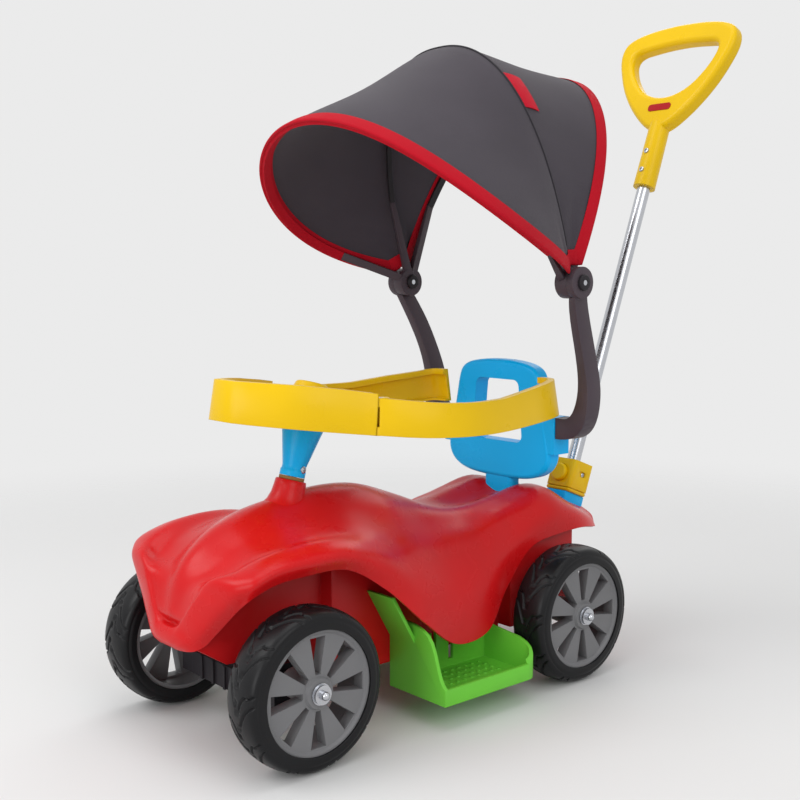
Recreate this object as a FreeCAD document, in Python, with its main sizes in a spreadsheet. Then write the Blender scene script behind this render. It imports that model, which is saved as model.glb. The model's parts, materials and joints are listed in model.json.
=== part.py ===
import FreeCAD, Part
import math
import os
from types import SimpleNamespace
import Sketcher

# Ride-on push car: red body, four spoked wheels, steered front axle, guard ring with two swinging
# side arms, backrest, tilting canopy and a push pole that lifts out of its socket.
# Millimetres. +Z up, the car drives towards -Y, its left side is +X. The origin is on the floor,
# under the middle of the whole car's box.

Vector = FreeCAD.Vector
doc = FreeCAD.newDocument("push_car")
sheet = doc.addObject("Spreadsheet::Sheet", "sizes")

drivingSizes = [
    # wheels and axles
    ("wheel_radius", 90), ("tyre_width", 53), ("tyre_shoulder", 12), ("rim_radius", 69),
    ("rim_band", 5), ("rim_lip", 2.5), ("lip_inset", 2.5), ("wheelbase", 435), ("half_track", 137.5),
    ("axle_diameter", 10), ("axle_overhang", 8), ("hub_radius", 18.4), ("hub_inset", 1),
    ("web_inset", 5), ("web_depth", 15), ("spoke_count", 8), ("slot_angle", 19),
    ("slot_margin", 2), ("washer_radius", 12), ("washer_thickness", 1.2), ("cap_radius", 10.7),
    ("cap_length", 4), ("spacer_radius", 9),
    # clearances
    ("running_clearance", 0.06), ("seat_clearance", 0.05), ("wheel_play", 0.4), ("part_gap", 0.4),
    ("overrun", 2),
    # body shell
    ("nose_reach", 312), ("tail_reach", 385), ("body_half_width", 137), ("body_height", 280),
    ("body_wall", 3.5), ("neck_base_radius", 36), ("neck_top_radius", 18),
    ("neck_height", 48), ("lip_radius", 11), ("lip_drop", 139), ("lip_half_width", 58),
    ("mouth_half_width", 17), ("mouth_height", 153), ("mouth_gap", 4),
    # underbody
    ("chin_half_width", 48), ("chin_reach", 300), ("chin_bottom", 102), ("chin_lip", 128),
    ("chin_rear", 246), ("front_floor", 120), ("front_rear_wall", 130), ("mid_half_width", 70),
    ("mid_floor", 62), ("mid_rear_wall", 150), ("rear_half_width", 92), ("rear_floor", 72),
    ("rear_wall", 272), ("tub_wall", 3), ("boss_wall", 8), ("boss_reach", 36),
    # steering
    ("column_reach", 135), ("column_height", 294), ("rake", 16), ("shaft_diameter", 12),
    ("deck_boss_drop", 10), ("collar_radius", 15.5), ("collar_length", 7), ("stalk_radius", 14.5),
    ("stalk_length", 13), ("flare_radius", 28.5), ("bush_radius", 10), ("bush_flange_radius", 15.5),
    ("bush_flange", 4), ("bush_depth", 24), ("deck_boss_radius", 20), ("deck_boss_length", 23),
    ("cap_base_radius", 26), ("cap_top_radius", 19), ("cap_height", 18), ("column_screw_radius", 4.5),
    ("column_screw_length", 6),
    # front axle carrier
    ("beam_half_width", 74), ("beam_front", 15), ("beam_rear", 45), ("beam_bottom", 54),
    ("beam_top", 82), ("cheek_width", 24), ("cheek_half_depth", 14.5), ("cheek_top", 106),
    ("carrier_boss_radius", 14), ("carrier_boss_top", 104), ("beam_rib", 4), ("beam_rib_proud", 3),
    ("beam_rib_count", 5),
    # guard ring
    ("guard_half_width", 163), ("guard_front_reach", 240),
    ("guard_low", 346), ("guard_front_rise", 24), ("guard_rear_rise", 8), ("guard_front_height", 48),
    ("guard_arm_height", 40), ("guard_wall", 4), ("guard_bead", 9), ("guard_bead_height", 8),
    ("guard_flange", 12), ("guard_flange_thickness", 3), ("guard_draft", 7), ("deck_rise", 1.5),
    ("deck_thickness", 4), ("deck_rear", 70), ("pin_radius", 3.5), ("pin_inset", 10),
    ("barrel_radius", 5.4), ("knuckle_clearance", 1.2),
    ("tongue_length", 26), ("tongue_half_height", 11),
    # backrest
    ("backrest_reach", 228), ("backrest_depth", 24), ("backrest_top", 419),
    ("backrest_half_width", 97), ("backrest_bottom", 254), ("backrest_rounding", 6), ("stem_rounding", 8),
    ("window_top", 392), ("window_bottom", 306), ("window_top_half_width", 40),
    ("window_bottom_half_width", 48), ("window_rounding", 10), ("stem_half_width", 27),
    ("stem_depth", 20), ("stem_bottom", 206), ("bracket_width", 20), ("bracket_bottom", 296),
    ("bracket_top", 346), ("screw_radius", 4), ("screw_proud", 1.5),
    # canopy
    ("hub_height", 525), ("hub_reach", 187), ("hub_x", 155), ("hinge_radius", 20),
    ("hinge_thickness", 11), ("drum_width", 18), ("bar_inset", 5), ("bolt_radius", 4),
    ("bolt_head_radius", 8), ("bolt_head", 4), ("arm_width", 24), ("foot_thickness", 28),
    ("arm_foot_x", 98), ("arm_foot_reach", 232), ("arm_foot_height", 331),
    ("front_arch_half_width", 210), ("front_arch_height", 333), ("front_arch_end", 126),
    ("front_arch_lean", 148), ("front_arch_power", 2), ("front_arch_y", 167), ("front_arch_z", 539),
    ("front_arch_bow", 30),
    ("middle_arch_half_width", 160), ("middle_arch_height", 286), ("middle_arch_end", 90),
    ("middle_arch_lean", 105.5), ("middle_arch_power", 2.4), ("middle_arch_y", 179),
    ("middle_arch_z", 550), ("middle_arch_bow", 0),
    ("rear_arch_half_width", 164), ("rear_arch_height", 281), ("rear_arch_end", 90),
    ("rear_arch_lean", 65.5), ("rear_arch_power", 2.44), ("rear_arch_y", 196), ("rear_arch_z", 549),
    ("rear_arch_bow", 0),
    ("fabric_thickness", 2), ("bow_width", 11), ("bow_thickness", 4), ("middle_bow_share", 0.6),
    ("crease_drop", 1.2), ("fabric_clearance", 0.8),
    # push pole and handle
    ("socket_reach", 381), ("socket_height", 258), ("pole_lean", 20.9), ("pole_diameter", 20),
    ("pole_wall", 1.5), ("pole_length", 496), ("pole_seat", 46), ("pole_depth", 40), ("socket_block", 42),
    ("socket_half_width", 23), ("socket_half_depth", 22), ("socket_rounding", 6), ("base_thickness", 6),
    ("rear_bracket_length", 30), ("rear_bracket_half_width", 19), ("knob_radius", 13),
    ("knob_length", 15), ("knob_seat", 8), ("knob_drop", 22), ("socket_screw_drop", 18),
    ("knob_stem_radius", 4), ("slot_length", 16), ("slot_depth", 3),
    ("neck_radius", 17), ("neck_length", 96), ("neck_depth", 52), ("neck_drop", 10),
    ("grip_half_width", 106), ("grip_top", 263), ("grip_half_depth", 13), ("grip_rounding", 8),
    ("insert_half_width", 21), ("insert_half_height", 5.6), ("insert_depth", 4), ("insert_height", 120),
    ("handle_screw_first", 14), ("handle_screw_second", 45),
    # footrests
    ("foot_outer", 170), ("foot_inner", 70.5), ("foot_front", 41), ("foot_gap", 4.5),
    ("foot_bottom", 32), ("foot_floor", 4), ("foot_wall", 5), ("foot_lip", 20), ("foot_front_height", 88),
    ("foot_rear_height", 50), ("foot_rear_round", 34), ("foot_inner_height", 56),
    ("foot_corner", 22), ("foot_screw_height", 78), ("guard_plate_low", 96), ("guard_plate_high", 158),
    ("guard_plate_lean", 36), ("guard_plate_outer", 116), ("dimple_radius", 2.2), ("dimple_height", 1.2),
    ("dimple_pitch", 12), ("foot_slot_width", 8), ("foot_slot_low", 14),
]
for row, (alias, number) in enumerate(drivingSizes, start=1):
    sheet.set(f"A{row}", alias)
    sheet.set(f"B{row}", str(number))
    sheet.setAlias(f"B{row}", alias)
doc.recompute()
s = SimpleNamespace(**{alias: float(sheet.get(alias)) for alias, number in drivingSizes})

# places that several pieces share, measured from the middle of the wheelbase
frontAxleY = -s.wheelbase / 2
rearAxleY = s.wheelbase / 2
tyreOuter = s.half_track + s.tyre_width / 2
tyreInner = s.half_track - s.tyre_width / 2
hubOuter = tyreOuter - s.hub_inset
axleRadius = s.axle_diameter / 2
shaftRadius = s.shaft_diameter / 2
poleRadius = s.pole_diameter / 2
deckHeight = s.guard_low + s.guard_front_rise + s.guard_flange_thickness + s.deck_rise
backrestFront = s.backrest_reach - s.backrest_depth / 2
poleLean = math.radians(s.pole_lean)
handleStart = s.pole_length - s.pole_seat
gripSide = s.grip_half_depth - s.grip_rounding
rearReach = (s.socket_reach + (handleStart + s.grip_top - s.grip_rounding) * math.sin(poleLean)
             + gripSide * math.cos(poleLean) + s.grip_rounding)
middleY = (s.nose_reach - rearReach) / 2
origin = FreeCAD.Placement(Vector(0, middleY, 0), FreeCAD.Rotation())
steeringPlace = FreeCAD.Placement(Vector(0, -s.column_reach, s.column_height),
                                  FreeCAD.Rotation(Vector(1, 0, 0), -s.rake))
polePlace = FreeCAD.Placement(Vector(0, s.socket_reach, s.socket_height),
                              FreeCAD.Rotation(Vector(1, 0, 0), -s.pole_lean))
upAxis = Vector(0, 0, 1)
sideAxis = Vector(1, 0, 0)


def addNode(label, shape, place=None):
    node = doc.addObject("Part::Feature", label)
    node.Label = label
    node.Shape = shape
    node.Placement = origin if place is None else origin.multiply(place)
    return node


def mirrored(shape):
    return shape.mirror(Vector(0, 0, 0), sideAxis)


def box(low, high):
    size = high - low
    return Part.makeBox(size.x, size.y, size.z, low)


def rod(radius, start, end):
    along = end - start
    return Part.makeCylinder(radius, along.Length, start, along)


def ring(radius, bore, start, end):
    return rod(radius, start, end).cut(rod(bore, start, end))


def prism(points, direction):
    return Part.Face(Part.makePolygon(points + points[:1])).extrude(direction)


def boundSolid(kind, label, place, **rules):
    solid = doc.addObject(kind, label)
    solid.Label = label
    solid.Placement = origin.multiply(place)
    for setting, rule in rules.items():
        solid.setExpression(setting, rule)
    return solid


# sketches: closed outlines whose corners are tied to the sheet
def evaluate(rule):
    return float(sheet.evalExpression(rule))


def outlineSketch(body, role, corners):
    plane = [item for item in body.Origin.OriginFeatures if item.Role == role][0]
    sketch = body.newObject("Sketcher::SketchObject", body.Name + role)
    sketch.AttachmentSupport = [(plane, "")]
    sketch.MapMode = "FlatFace"
    spots = [Vector(evaluate(across), evaluate(up), 0) for across, up in corners]
    count = len(spots)
    for index in range(count):
        sketch.addGeometry(Part.LineSegment(spots[index], spots[(index + 1) % count]))
    for index in range(count):
        sketch.addConstraint(Sketcher.Constraint("Coincident", index, 2, (index + 1) % count, 1))
    for index, (across, up) in enumerate(corners):
        for kind, rule in (("DistanceX", across), ("DistanceY", up)):
            place = sketch.addConstraint(Sketcher.Constraint(kind, -1, 1, index, 1, evaluate(rule)))
            sketch.setExpression(f"Constraints[{place}]", rule)
    return sketch


def turnedBody(label, corners):
    body = doc.addObject("PartDesign::Body", label)
    body.Label = label
    sketch = outlineSketch(body, "XY_Plane", corners)
    turned = body.newObject("PartDesign::Revolution", label + "Turned")
    turned.Profile = sketch
    turned.ReferenceAxis = (sketch, ["H_Axis"])
    turned.Angle = 360
    doc.recompute()
    return body


outerFace = "(sizes.half_track + sizes.tyre_width / 2)"
innerFace = "(sizes.half_track - sizes.tyre_width / 2)"


def makeTyre(label):
    seat = "sizes.rim_radius + sizes.seat_clearance"
    tread = "sizes.wheel_radius"
    body = turnedBody(label, [(innerFace, seat), (outerFace, seat), (outerFace, tread), (innerFace, tread)])
    turned = body.Tip
    shoulders = [f"Edge{index}" for index, edge in enumerate(turned.Shape.Edges, start=1)
                 if isinstance(edge.Curve, Part.Circle)
                 and abs(edge.Curve.Radius - s.wheel_radius) < s.part_gap]
    rounded = body.newObject("PartDesign::Fillet", label + "Shoulders")
    rounded.Base = (turned, shoulders)
    rounded.setExpression("Radius", "sizes.tyre_shoulder")
    return body


def makeRim(label):
    bore = "sizes.axle_diameter / 2 + sizes.running_clearance"
    webOuter = f"{outerFace} - sizes.web_inset"
    webInner = f"{webOuter} - sizes.web_depth"
    lipFace = f"{outerFace} - sizes.lip_inset"
    hubFace = f"{outerFace} - sizes.hub_inset"
    hubBack = f"{innerFace} + sizes.hub_inset"
    bandInner = "sizes.rim_radius - sizes.rim_band"
    lipInner = "sizes.rim_radius - sizes.rim_lip"
    bandBack = f"{innerFace} + sizes.lip_inset"
    body = turnedBody(label, [
        (hubBack, bore), (hubBack, "sizes.hub_radius - sizes.slot_margin"), (webInner, "sizes.hub_radius"),
        (webInner, bandInner), (bandBack, bandInner), (bandBack, "sizes.rim_radius"),
        (lipFace, "sizes.rim_radius"), (lipFace, lipInner), (webOuter, bandInner),
        (webOuter, "sizes.hub_radius"), (hubFace, "sizes.hub_radius - sizes.slot_margin"), (hubFace, bore)])
    slotInner = "(sizes.hub_radius + sizes.slot_margin)"
    slotOuter = "(sizes.rim_radius - sizes.rim_band - sizes.slot_margin)"
    half = "sizes.slot_angle / 2"
    sketch = outlineSketch(body, "YZ_Plane", [
        (f"{slotInner} * cos({half})", f"-{slotInner} * sin({half})"),
        (f"{slotOuter} * cos({half})", f"-{slotOuter} * sin({half})"),
        (f"{slotOuter} * cos({half})", f"{slotOuter} * sin({half})"),
        (f"{slotInner} * cos({half})", f"{slotInner} * sin({half})")])
    slot = body.newObject("PartDesign::Pocket", label + "Slot")
    slot.Profile = sketch
    slot.Type = 1
    slot.Reversed = True
    doc.recompute()
    pattern = body.newObject("PartDesign::PolarPattern", label + "Slots")
    pattern.Originals = [slot]
    pattern.Axis = ([item for item in body.Origin.OriginFeatures if item.Role == "X_Axis"][0], [""])
    pattern.Angle = 360
    pattern.setExpression("Occurrences", "sizes.spoke_count")
    body.Tip = pattern
    return body


halfTurn = FreeCAD.Rotation(upAxis, 180)
wheelPlaces = {
    "front_left": (frontAxleY, FreeCAD.Rotation()), "front_right": (frontAxleY, halfTurn),
    "rear_left": (rearAxleY, FreeCAD.Rotation()), "rear_right": (rearAxleY, halfTurn)}
nodes = []
for corner, (axleY, facing) in wheelPlaces.items():
    for maker, part in ((makeTyre, "tyre"), (makeRim, "rim")):
        body = maker(f"{part}_{corner}")
        body.Placement = origin.multiply(FreeCAD.Placement(Vector(0, axleY, s.wheel_radius), facing))
        nodes.append(body)


# axles with domed ends, and the rings that keep the wheels on them
washerStart = hubOuter + s.wheel_play
capStart = washerStart + s.washer_thickness
axleEnd = capStart + s.cap_length + s.axle_overhang


def ringPair(radius, bore, start, end, axleY):
    single = ring(radius, bore, Vector(start, axleY, s.wheel_radius), Vector(end, axleY, s.wheel_radius))
    return Part.makeCompound([single, mirrored(single)])


axleBore = axleRadius + s.seat_clearance
spacerStarts = {"front": s.beam_half_width + s.cheek_width, "rear": s.rear_half_width}
for end, axleY in (("front", frontAxleY), ("rear", rearAxleY)):
    straight = axleEnd - axleRadius
    axle = rod(axleRadius, Vector(-straight, axleY, s.wheel_radius), Vector(straight, axleY, s.wheel_radius))
    for side in (-straight, straight):
        axle = axle.fuse(Part.makeSphere(axleRadius, Vector(side, axleY, s.wheel_radius)))
    nodes.append(addNode(f"{end}_axle", axle.removeSplitter()))
    nodes.append(addNode(f"{end}_washers",
                         ringPair(s.washer_radius, axleBore, washerStart, capStart, axleY)))
    nodes.append(addNode(f"{end}_axle_caps",
                         ringPair(s.cap_radius, axleBore, capStart, capStart + s.cap_length, axleY)))
    hubBack = tyreInner + s.hub_inset - s.wheel_play
    nodes.append(addNode(f"{end}_spacers",
                         ringPair(s.spacer_radius, axleBore, spacerStarts[end], hubBack, axleY)))


# body shell: sections from nose to tail, given as shares of the reach, the half width and the height.
# Each row: place along the car, crown, then valley, ridge, side and skirt edge as (out, up).
bodySectionShares = [
    (-0.987, 0.521, (0.146, 0.521), (0.277, 0.511), (0.380, 0.489), (0.423, 0.450)),
    (-0.955, 0.618, (0.226, 0.604), (0.453, 0.645), (0.613, 0.643), (0.657, 0.575)),
    (-0.906, 0.746, (0.277, 0.700), (0.686, 0.764), (0.912, 0.743), (0.949, 0.675)),
    (-0.801, 0.850, (0.350, 0.793), (0.766, 0.829), (0.964, 0.793), (0.993, 0.725)),
    (-0.657, 0.929, (0.438, 0.857), (0.818, 0.857), (0.978, 0.807), (1.000, 0.743)),
    (-0.481, 0.971, (0.453, 0.879), (0.818, 0.854), (0.978, 0.800), (1.000, 0.736)),
    (-0.304, 0.993, (0.453, 0.900), (0.788, 0.814), (0.964, 0.721), (0.993, 0.614)),
    (-0.128, 0.982, (0.409, 0.914), (0.715, 0.779), (0.934, 0.614), (0.978, 0.443)),
    (0.064, 0.907, (0.350, 0.857), (0.657, 0.729), (0.876, 0.536), (0.920, 0.293)),
    (0.219, 0.825, (0.321, 0.821), (0.613, 0.743), (0.832, 0.557), (0.861, 0.307)),
    (0.334, 0.800, (0.307, 0.825), (0.569, 0.793), (0.759, 0.643), (0.770, 0.464)),
    (0.476, 0.814, (0.292, 0.857), (0.526, 0.843), (0.715, 0.743), (0.745, 0.636)),
    (0.604, 0.836, (0.263, 0.882), (0.467, 0.882), (0.701, 0.793), (0.745, 0.664)),
    (0.746, 0.814, (0.234, 0.832), (0.453, 0.793), (0.672, 0.736), (0.730, 0.671)),
    (0.861, 0.757, (0.204, 0.750), (0.409, 0.714), (0.569, 0.679), (0.613, 0.643)),
    (0.990, 0.693, (0.102, 0.686), (0.204, 0.664), (0.270, 0.646), (0.299, 0.614)),
]


def sectionPoints(row):
    along, crown, *right = row
    reach = s.nose_reach if along < 0 else s.tail_reach
    sideways = [(out * s.body_half_width, up * s.body_height) for out, up in right]
    left = [(-out, up) for out, up in reversed(sideways)]
    flat = left + [(0, crown * s.body_height)] + sideways
    return [Vector(out, along * reach, up) for out, up in flat]


def insetPoints(points, depth):
    inset = []
    for index, point in enumerate(points):
        before = points[max(index - 1, 0)]
        after = points[min(index + 1, len(points) - 1)]
        run = after - before
        run.normalize()
        inset.append(point + Vector(run.z, 0, -run.x) * depth)
    return inset


def smoothEdge(points):
    curve = Part.BSplineCurve()
    curve.interpolate(Points=points, Parameters=list(range(len(points))))
    return curve.toShape()


def straightEdge(start, end):
    return Part.LineSegment(start, end).toShape()


def skinWire(points, depth):
    inner = insetPoints(points, depth)
    return Part.Wire([smoothEdge(points), straightEdge(points[-1], inner[-1]),
                      smoothEdge(inner[::-1]), straightEdge(inner[0], points[0])])


def filledWire(points, floor):
    corners = [Vector(points[-1].x, points[-1].y, floor), Vector(points[0].x, points[0].y, floor)]
    return Part.Wire([smoothEdge(points), straightEdge(points[-1], corners[0]),
                      straightEdge(corners[0], corners[1]), straightEdge(corners[1], points[0])])


def loft(wires, ruled=False):
    return Part.makeLoft(wires, True, ruled)


bodySections = [sectionPoints(row) for row in bodySectionShares]
cavitySections = [insetPoints(points, s.body_wall + s.part_gap) for points in bodySections]
shell = loft([skinWire(points, s.body_wall) for points in bodySections])
cavity = loft([filledWire(points, 0) for points in cavitySections])


def endCap(points, end):
    rims = [points[0], points[-1]]
    centre = (rims[0] + rims[1]) * 0.5
    taperShare = 0.86
    small = [centre + (point - centre) * taperShare for point in points]
    small = [Vector(point.x, end, point.z) for point in small]
    wires = [Part.Wire([smoothEdge(row), straightEdge(row[-1], row[0])]) for row in (points, small)]
    return loft(wires, ruled=True)


shell = shell.fuse(endCap(bodySections[0], -s.nose_reach))
shell = shell.fuse(endCap(bodySections[-1], s.tail_reach))
lipMiddle = Vector(0, -s.nose_reach + s.lip_radius, s.lip_drop)
lipEnd = Vector(s.lip_half_width, lipMiddle.y + s.lip_radius, s.lip_drop + s.lip_radius / 2)
lipEnds = [Vector(side * lipEnd.x, lipEnd.y, lipEnd.z) for side in (-1, 1)]
lipArc = Part.Arc(lipEnds[0], lipMiddle, lipEnds[1])
lipStart = Part.Wire(Part.makeCircle(s.lip_radius, lipEnds[0], lipArc.tangent(lipArc.FirstParameter)[0]))
shell = shell.fuse(Part.Wire(lipArc.toShape()).makePipeShell([lipStart], True, True))
mouthLow = Vector(-s.mouth_half_width, -s.nose_reach - s.overrun, s.mouth_height)
mouthHigh = Vector(s.mouth_half_width, lipEnd.y, s.mouth_height + s.mouth_gap)
shell = shell.cut(box(mouthLow, mouthHigh))
neck = Part.makeCone(s.neck_base_radius, s.neck_top_radius, s.neck_height, Vector(0, 0, -s.neck_height))
neck.Placement = steeringPlace.multiply(FreeCAD.Placement(Vector(0, 0, -s.bush_flange), FreeCAD.Rotation()))
shell = shell.fuse(neck)


def steeringRod(radius, low, high):
    solid = rod(radius, Vector(0, 0, low), Vector(0, 0, high))
    solid.Placement = steeringPlace
    return solid


bushSeat = s.bush_radius + s.seat_clearance
shell = shell.cut(steeringRod(bushSeat, -2 * s.neck_height, s.neck_height))
stemLow = Vector(-s.stem_half_width, s.backrest_reach - s.stem_depth / 2, s.stem_bottom)
stemHigh = Vector(s.stem_half_width, s.backrest_reach + s.stem_depth / 2, s.window_bottom)
stemRoom = Vector(s.seat_clearance, s.seat_clearance, 0)
shell = shell.cut(box(stemLow - stemRoom, stemHigh + stemRoom)).removeSplitter()


# underbody: an open tub in three widths, up to the inside of the shell
def tub(halfWidth, profile):
    side = Vector(-halfWidth, 0, 0)
    return prism([side + Vector(0, y, z) for y, z in profile], Vector(2 * halfWidth, 0, 0))


def tubProfiles(wall):
    top = s.body_height
    front = [(-s.chin_reach + wall, top), (-s.chin_reach + wall, s.chin_lip + wall),
             (-s.chin_rear - s.tub_wall * 5, s.chin_bottom + wall),
             (-s.chin_rear - wall, s.chin_bottom + wall),
             (-s.chin_rear + s.tub_wall * 2 - wall, s.front_floor + wall),
             (-s.front_rear_wall + wall, s.front_floor + wall), (-s.front_rear_wall + wall, top)]
    middle = [(-s.front_rear_wall + wall, top), (-s.front_rear_wall + wall, s.mid_floor + wall),
              (s.mid_rear_wall - wall, s.mid_floor + wall), (s.mid_rear_wall - wall, top)]
    rear = [(s.mid_rear_wall + wall, top), (s.mid_rear_wall + wall, s.rear_floor + wall),
            (s.rear_wall - wall, s.rear_floor + wall), (s.rear_wall - wall, top)]
    return ((s.chin_half_width - wall, front), (s.mid_half_width - wall, middle),
            (s.rear_half_width - wall, rear))


outerTubs = [tub(width, profile) for width, profile in tubProfiles(0)]
innerTubs = [tub(width, profile) for width, profile in tubProfiles(s.tub_wall)]
underbody = outerTubs[0].multiFuse(outerTubs[1:]).removeSplitter()
underbody = underbody.cut(innerTubs[0].multiFuse(innerTubs[1:]))
cosRake = math.cos(math.radians(s.rake))


def alongShaft(height):
    return (height - s.column_height) / cosRake


lowerBoss = steeringRod(shaftRadius + s.boss_wall, alongShaft(s.front_floor),
                        alongShaft(s.front_floor) + s.boss_reach)
underbody = underbody.fuse(lowerBoss)
axleBoss = rod(axleRadius + s.boss_wall, Vector(-s.rear_half_width, rearAxleY, s.wheel_radius),
               Vector(s.rear_half_width, rearAxleY, s.wheel_radius))
underbody = underbody.fuse(axleBoss)
pedestal = box(Vector(stemLow.x, stemLow.y, s.rear_floor), Vector(stemHigh.x, stemHigh.y, s.stem_bottom))
underbody = underbody.fuse(pedestal)
underbody = underbody.common(cavity)
underbody = underbody.cut(steeringRod(shaftRadius + s.running_clearance, alongShaft(0), s.neck_height))
bushRoom = steeringRod(s.neck_base_radius + s.part_gap,
                       -s.neck_height - s.bush_flange - s.part_gap, s.neck_height)
underbody = underbody.cut(bushRoom)
reach = Vector(s.rear_half_width + s.overrun, 0, 0)
rearLine = Vector(0, rearAxleY, s.wheel_radius)
underbody = underbody.cut(rod(axleRadius + s.seat_clearance, rearLine - reach, rearLine + reach))


# steering: bush, shaft, column, cap, carrier
bush = steeringRod(s.bush_radius, -s.bush_depth, 0)
bush = bush.fuse(steeringRod(s.bush_flange_radius, -s.bush_flange, 0))
bush = bush.cut(steeringRod(shaftRadius + s.running_clearance, -s.neck_height, s.neck_height))
nodes.append(addNode("column_bush", bush.removeSplitter()))
columnTop = alongShaft(deckHeight) - s.deck_boss_drop
capBottom = columnTop + s.part_gap + s.deck_boss_length + s.part_gap
shaftTop = capBottom + s.cap_height / 2
shaftBottom = alongShaft(s.beam_bottom + s.beam_rib)
shaftPlace = steeringPlace.multiply(FreeCAD.Placement(Vector(0, 0, shaftBottom), FreeCAD.Rotation()))
nodes.append(boundSolid("Part::Cylinder", "steering_shaft", shaftPlace, Radius="sizes.shaft_diameter / 2"))
nodes[-1].Height = shaftTop - shaftBottom
columnOutline = [
    (shaftRadius + s.seat_clearance, s.part_gap), (s.collar_radius, s.part_gap),
    (s.collar_radius, s.part_gap + s.collar_length),
    (s.stalk_radius, s.part_gap + s.collar_length + s.overrun),
    (s.stalk_radius, s.part_gap + s.stalk_length), (s.flare_radius, columnTop),
    (shaftRadius + s.seat_clearance, columnTop)]
columnFace = Part.Face(Part.makePolygon([Vector(r, 0, h) for r, h in columnOutline + columnOutline[:1]]))
column = columnFace.revolve(Vector(0, 0, 0), upAxis, 360)
screwHeight = s.part_gap + (s.collar_length + s.stalk_length) / 2
screwAim = Vector(math.cos(math.radians(s.rake)), math.sin(math.radians(s.rake)), 0)
screwSeat = Vector(0, 0, screwHeight) + screwAim * (s.stalk_radius - s.column_screw_length)
screwTip = screwSeat + screwAim * (s.column_screw_length + s.screw_proud)
columnScrew = rod(s.column_screw_radius, screwSeat, screwTip)
nodes.append(addNode("steering_column", column.cut(columnScrew), steeringPlace))
nodes.append(addNode("column_screw", columnScrew, steeringPlace))
cap = Part.makeCone(s.cap_base_radius, s.cap_top_radius, s.cap_height, Vector(0, 0, capBottom))
capRim = [edge for edge in cap.Edges if edge.BoundBox.ZMin > capBottom + s.overrun]
cap = cap.makeFillet(s.cap_height / 4, capRim)
cap = cap.cut(rod(shaftRadius + s.seat_clearance, Vector(0, 0, 0), Vector(0, 0, shaftTop + s.part_gap)))
nodes.append(addNode("steering_cap", cap, steeringPlace))

beam = box(Vector(-s.beam_half_width, frontAxleY - s.beam_front, s.beam_bottom),
           Vector(s.beam_half_width, frontAxleY + s.beam_rear, s.beam_top))
cheek = box(Vector(s.beam_half_width, frontAxleY - s.cheek_half_depth, s.beam_bottom),
            Vector(s.beam_half_width + s.cheek_width, frontAxleY + s.cheek_half_depth, s.cheek_top))
carrier = beam.multiFuse([cheek, mirrored(cheek)])
ribPitch = 2 * s.beam_half_width / (s.beam_rib_count + 1)
for index in range(int(s.beam_rib_count)):
    ribX = -s.beam_half_width + ribPitch * (index + 1)
    rib = box(Vector(ribX - s.beam_rib / 2, frontAxleY - s.beam_front - s.beam_rib_proud, s.beam_bottom),
              Vector(ribX + s.beam_rib / 2, frontAxleY - s.beam_front, s.beam_top))
    carrier = carrier.fuse(rib)
carrier = carrier.fuse(steeringRod(s.carrier_boss_radius, alongShaft(s.beam_bottom + s.beam_rib * 2),
                                   alongShaft(s.carrier_boss_top)))
carrier = carrier.cut(steeringRod(shaftRadius + s.seat_clearance, shaftBottom, shaftTop))
frontLine = Vector(0, frontAxleY, s.wheel_radius)
axleReach = Vector(s.beam_half_width + s.cheek_width + s.overrun, 0, 0)
carrier = carrier.cut(rod(axleRadius + s.seat_clearance, frontLine - axleReach, frontLine + axleReach))
nodes.append(addNode("front_axle_carrier", carrier.removeSplitter()))


# guard ring: half of its outer bottom edge from the front point to the rear end, as shares.
# Each row: out, along (of the front reach before the middle, of the rear reach behind it),
# rise (of the front rise or the rear rise), height (of the front height or the arm height).
guardFrontShares = [(0, -1, 1, 0.96), (0.135, -0.983, 0.96, 0.97), (0.295, -0.885, 0.82, 1.0),
                    (0.479, -0.727, 0.62, 1.03), (0.613, -0.531, 0.375, 1.03), (0.724, -0.388, 0.229, 0.98)]
guardArmShares = [(0.724, -0.388, 0.229, 1.06), (0.877, -0.24, 0.104, 1.03), (0.963, -0.10, 0.04, 0.99),
                  (1.0, 0.093, 0, 0.97), (0.969, 0.352, 0.06, 0.97), (0.905, 0.62, 0.375, 1.07),
                  (0.842, 0.80, 0.6, 1.12), (0.796, 0.905, 0.82, 1.15), (0.738, 0.966, 0.95, 1.16),
                  (0.655, 0.99, 1.0, 1.16), (0.555, 0.994, 1.0, 1.16)]


def guardSpot(row, fullHeight):
    out, along, rise, tall = row
    reach = s.guard_front_reach if along < 0 else backrestFront
    lift = s.guard_front_rise if along < 0 else s.guard_rear_rise
    return Vector(out * s.guard_half_width, along * reach, s.guard_low + rise * lift), tall * fullHeight


def guardWire(spot, height, run):
    inward = Vector(-run.y, run.x, 0)
    across = [(0, 0), (s.guard_flange, 0), (s.guard_flange, s.guard_flange_thickness),
              (s.guard_wall, s.guard_flange_thickness),
              (s.guard_wall + s.guard_draft, height - s.guard_bead_height),
              (s.guard_bead + s.guard_draft, height - s.guard_bead_height),
              (s.guard_bead + s.guard_draft, height), (s.guard_draft, height)]
    corners = [spot + inward * depth + upAxis * up for depth, up in across]
    return Part.makePolygon(corners + corners[:1])


def runs(spots):
    found = []
    for index in range(len(spots)):
        run = spots[min(index + 1, len(spots) - 1)] - spots[max(index - 1, 0)]
        run = Vector(run.x, run.y, 0)
        run.normalize()
        found.append(run)
    return found


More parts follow.
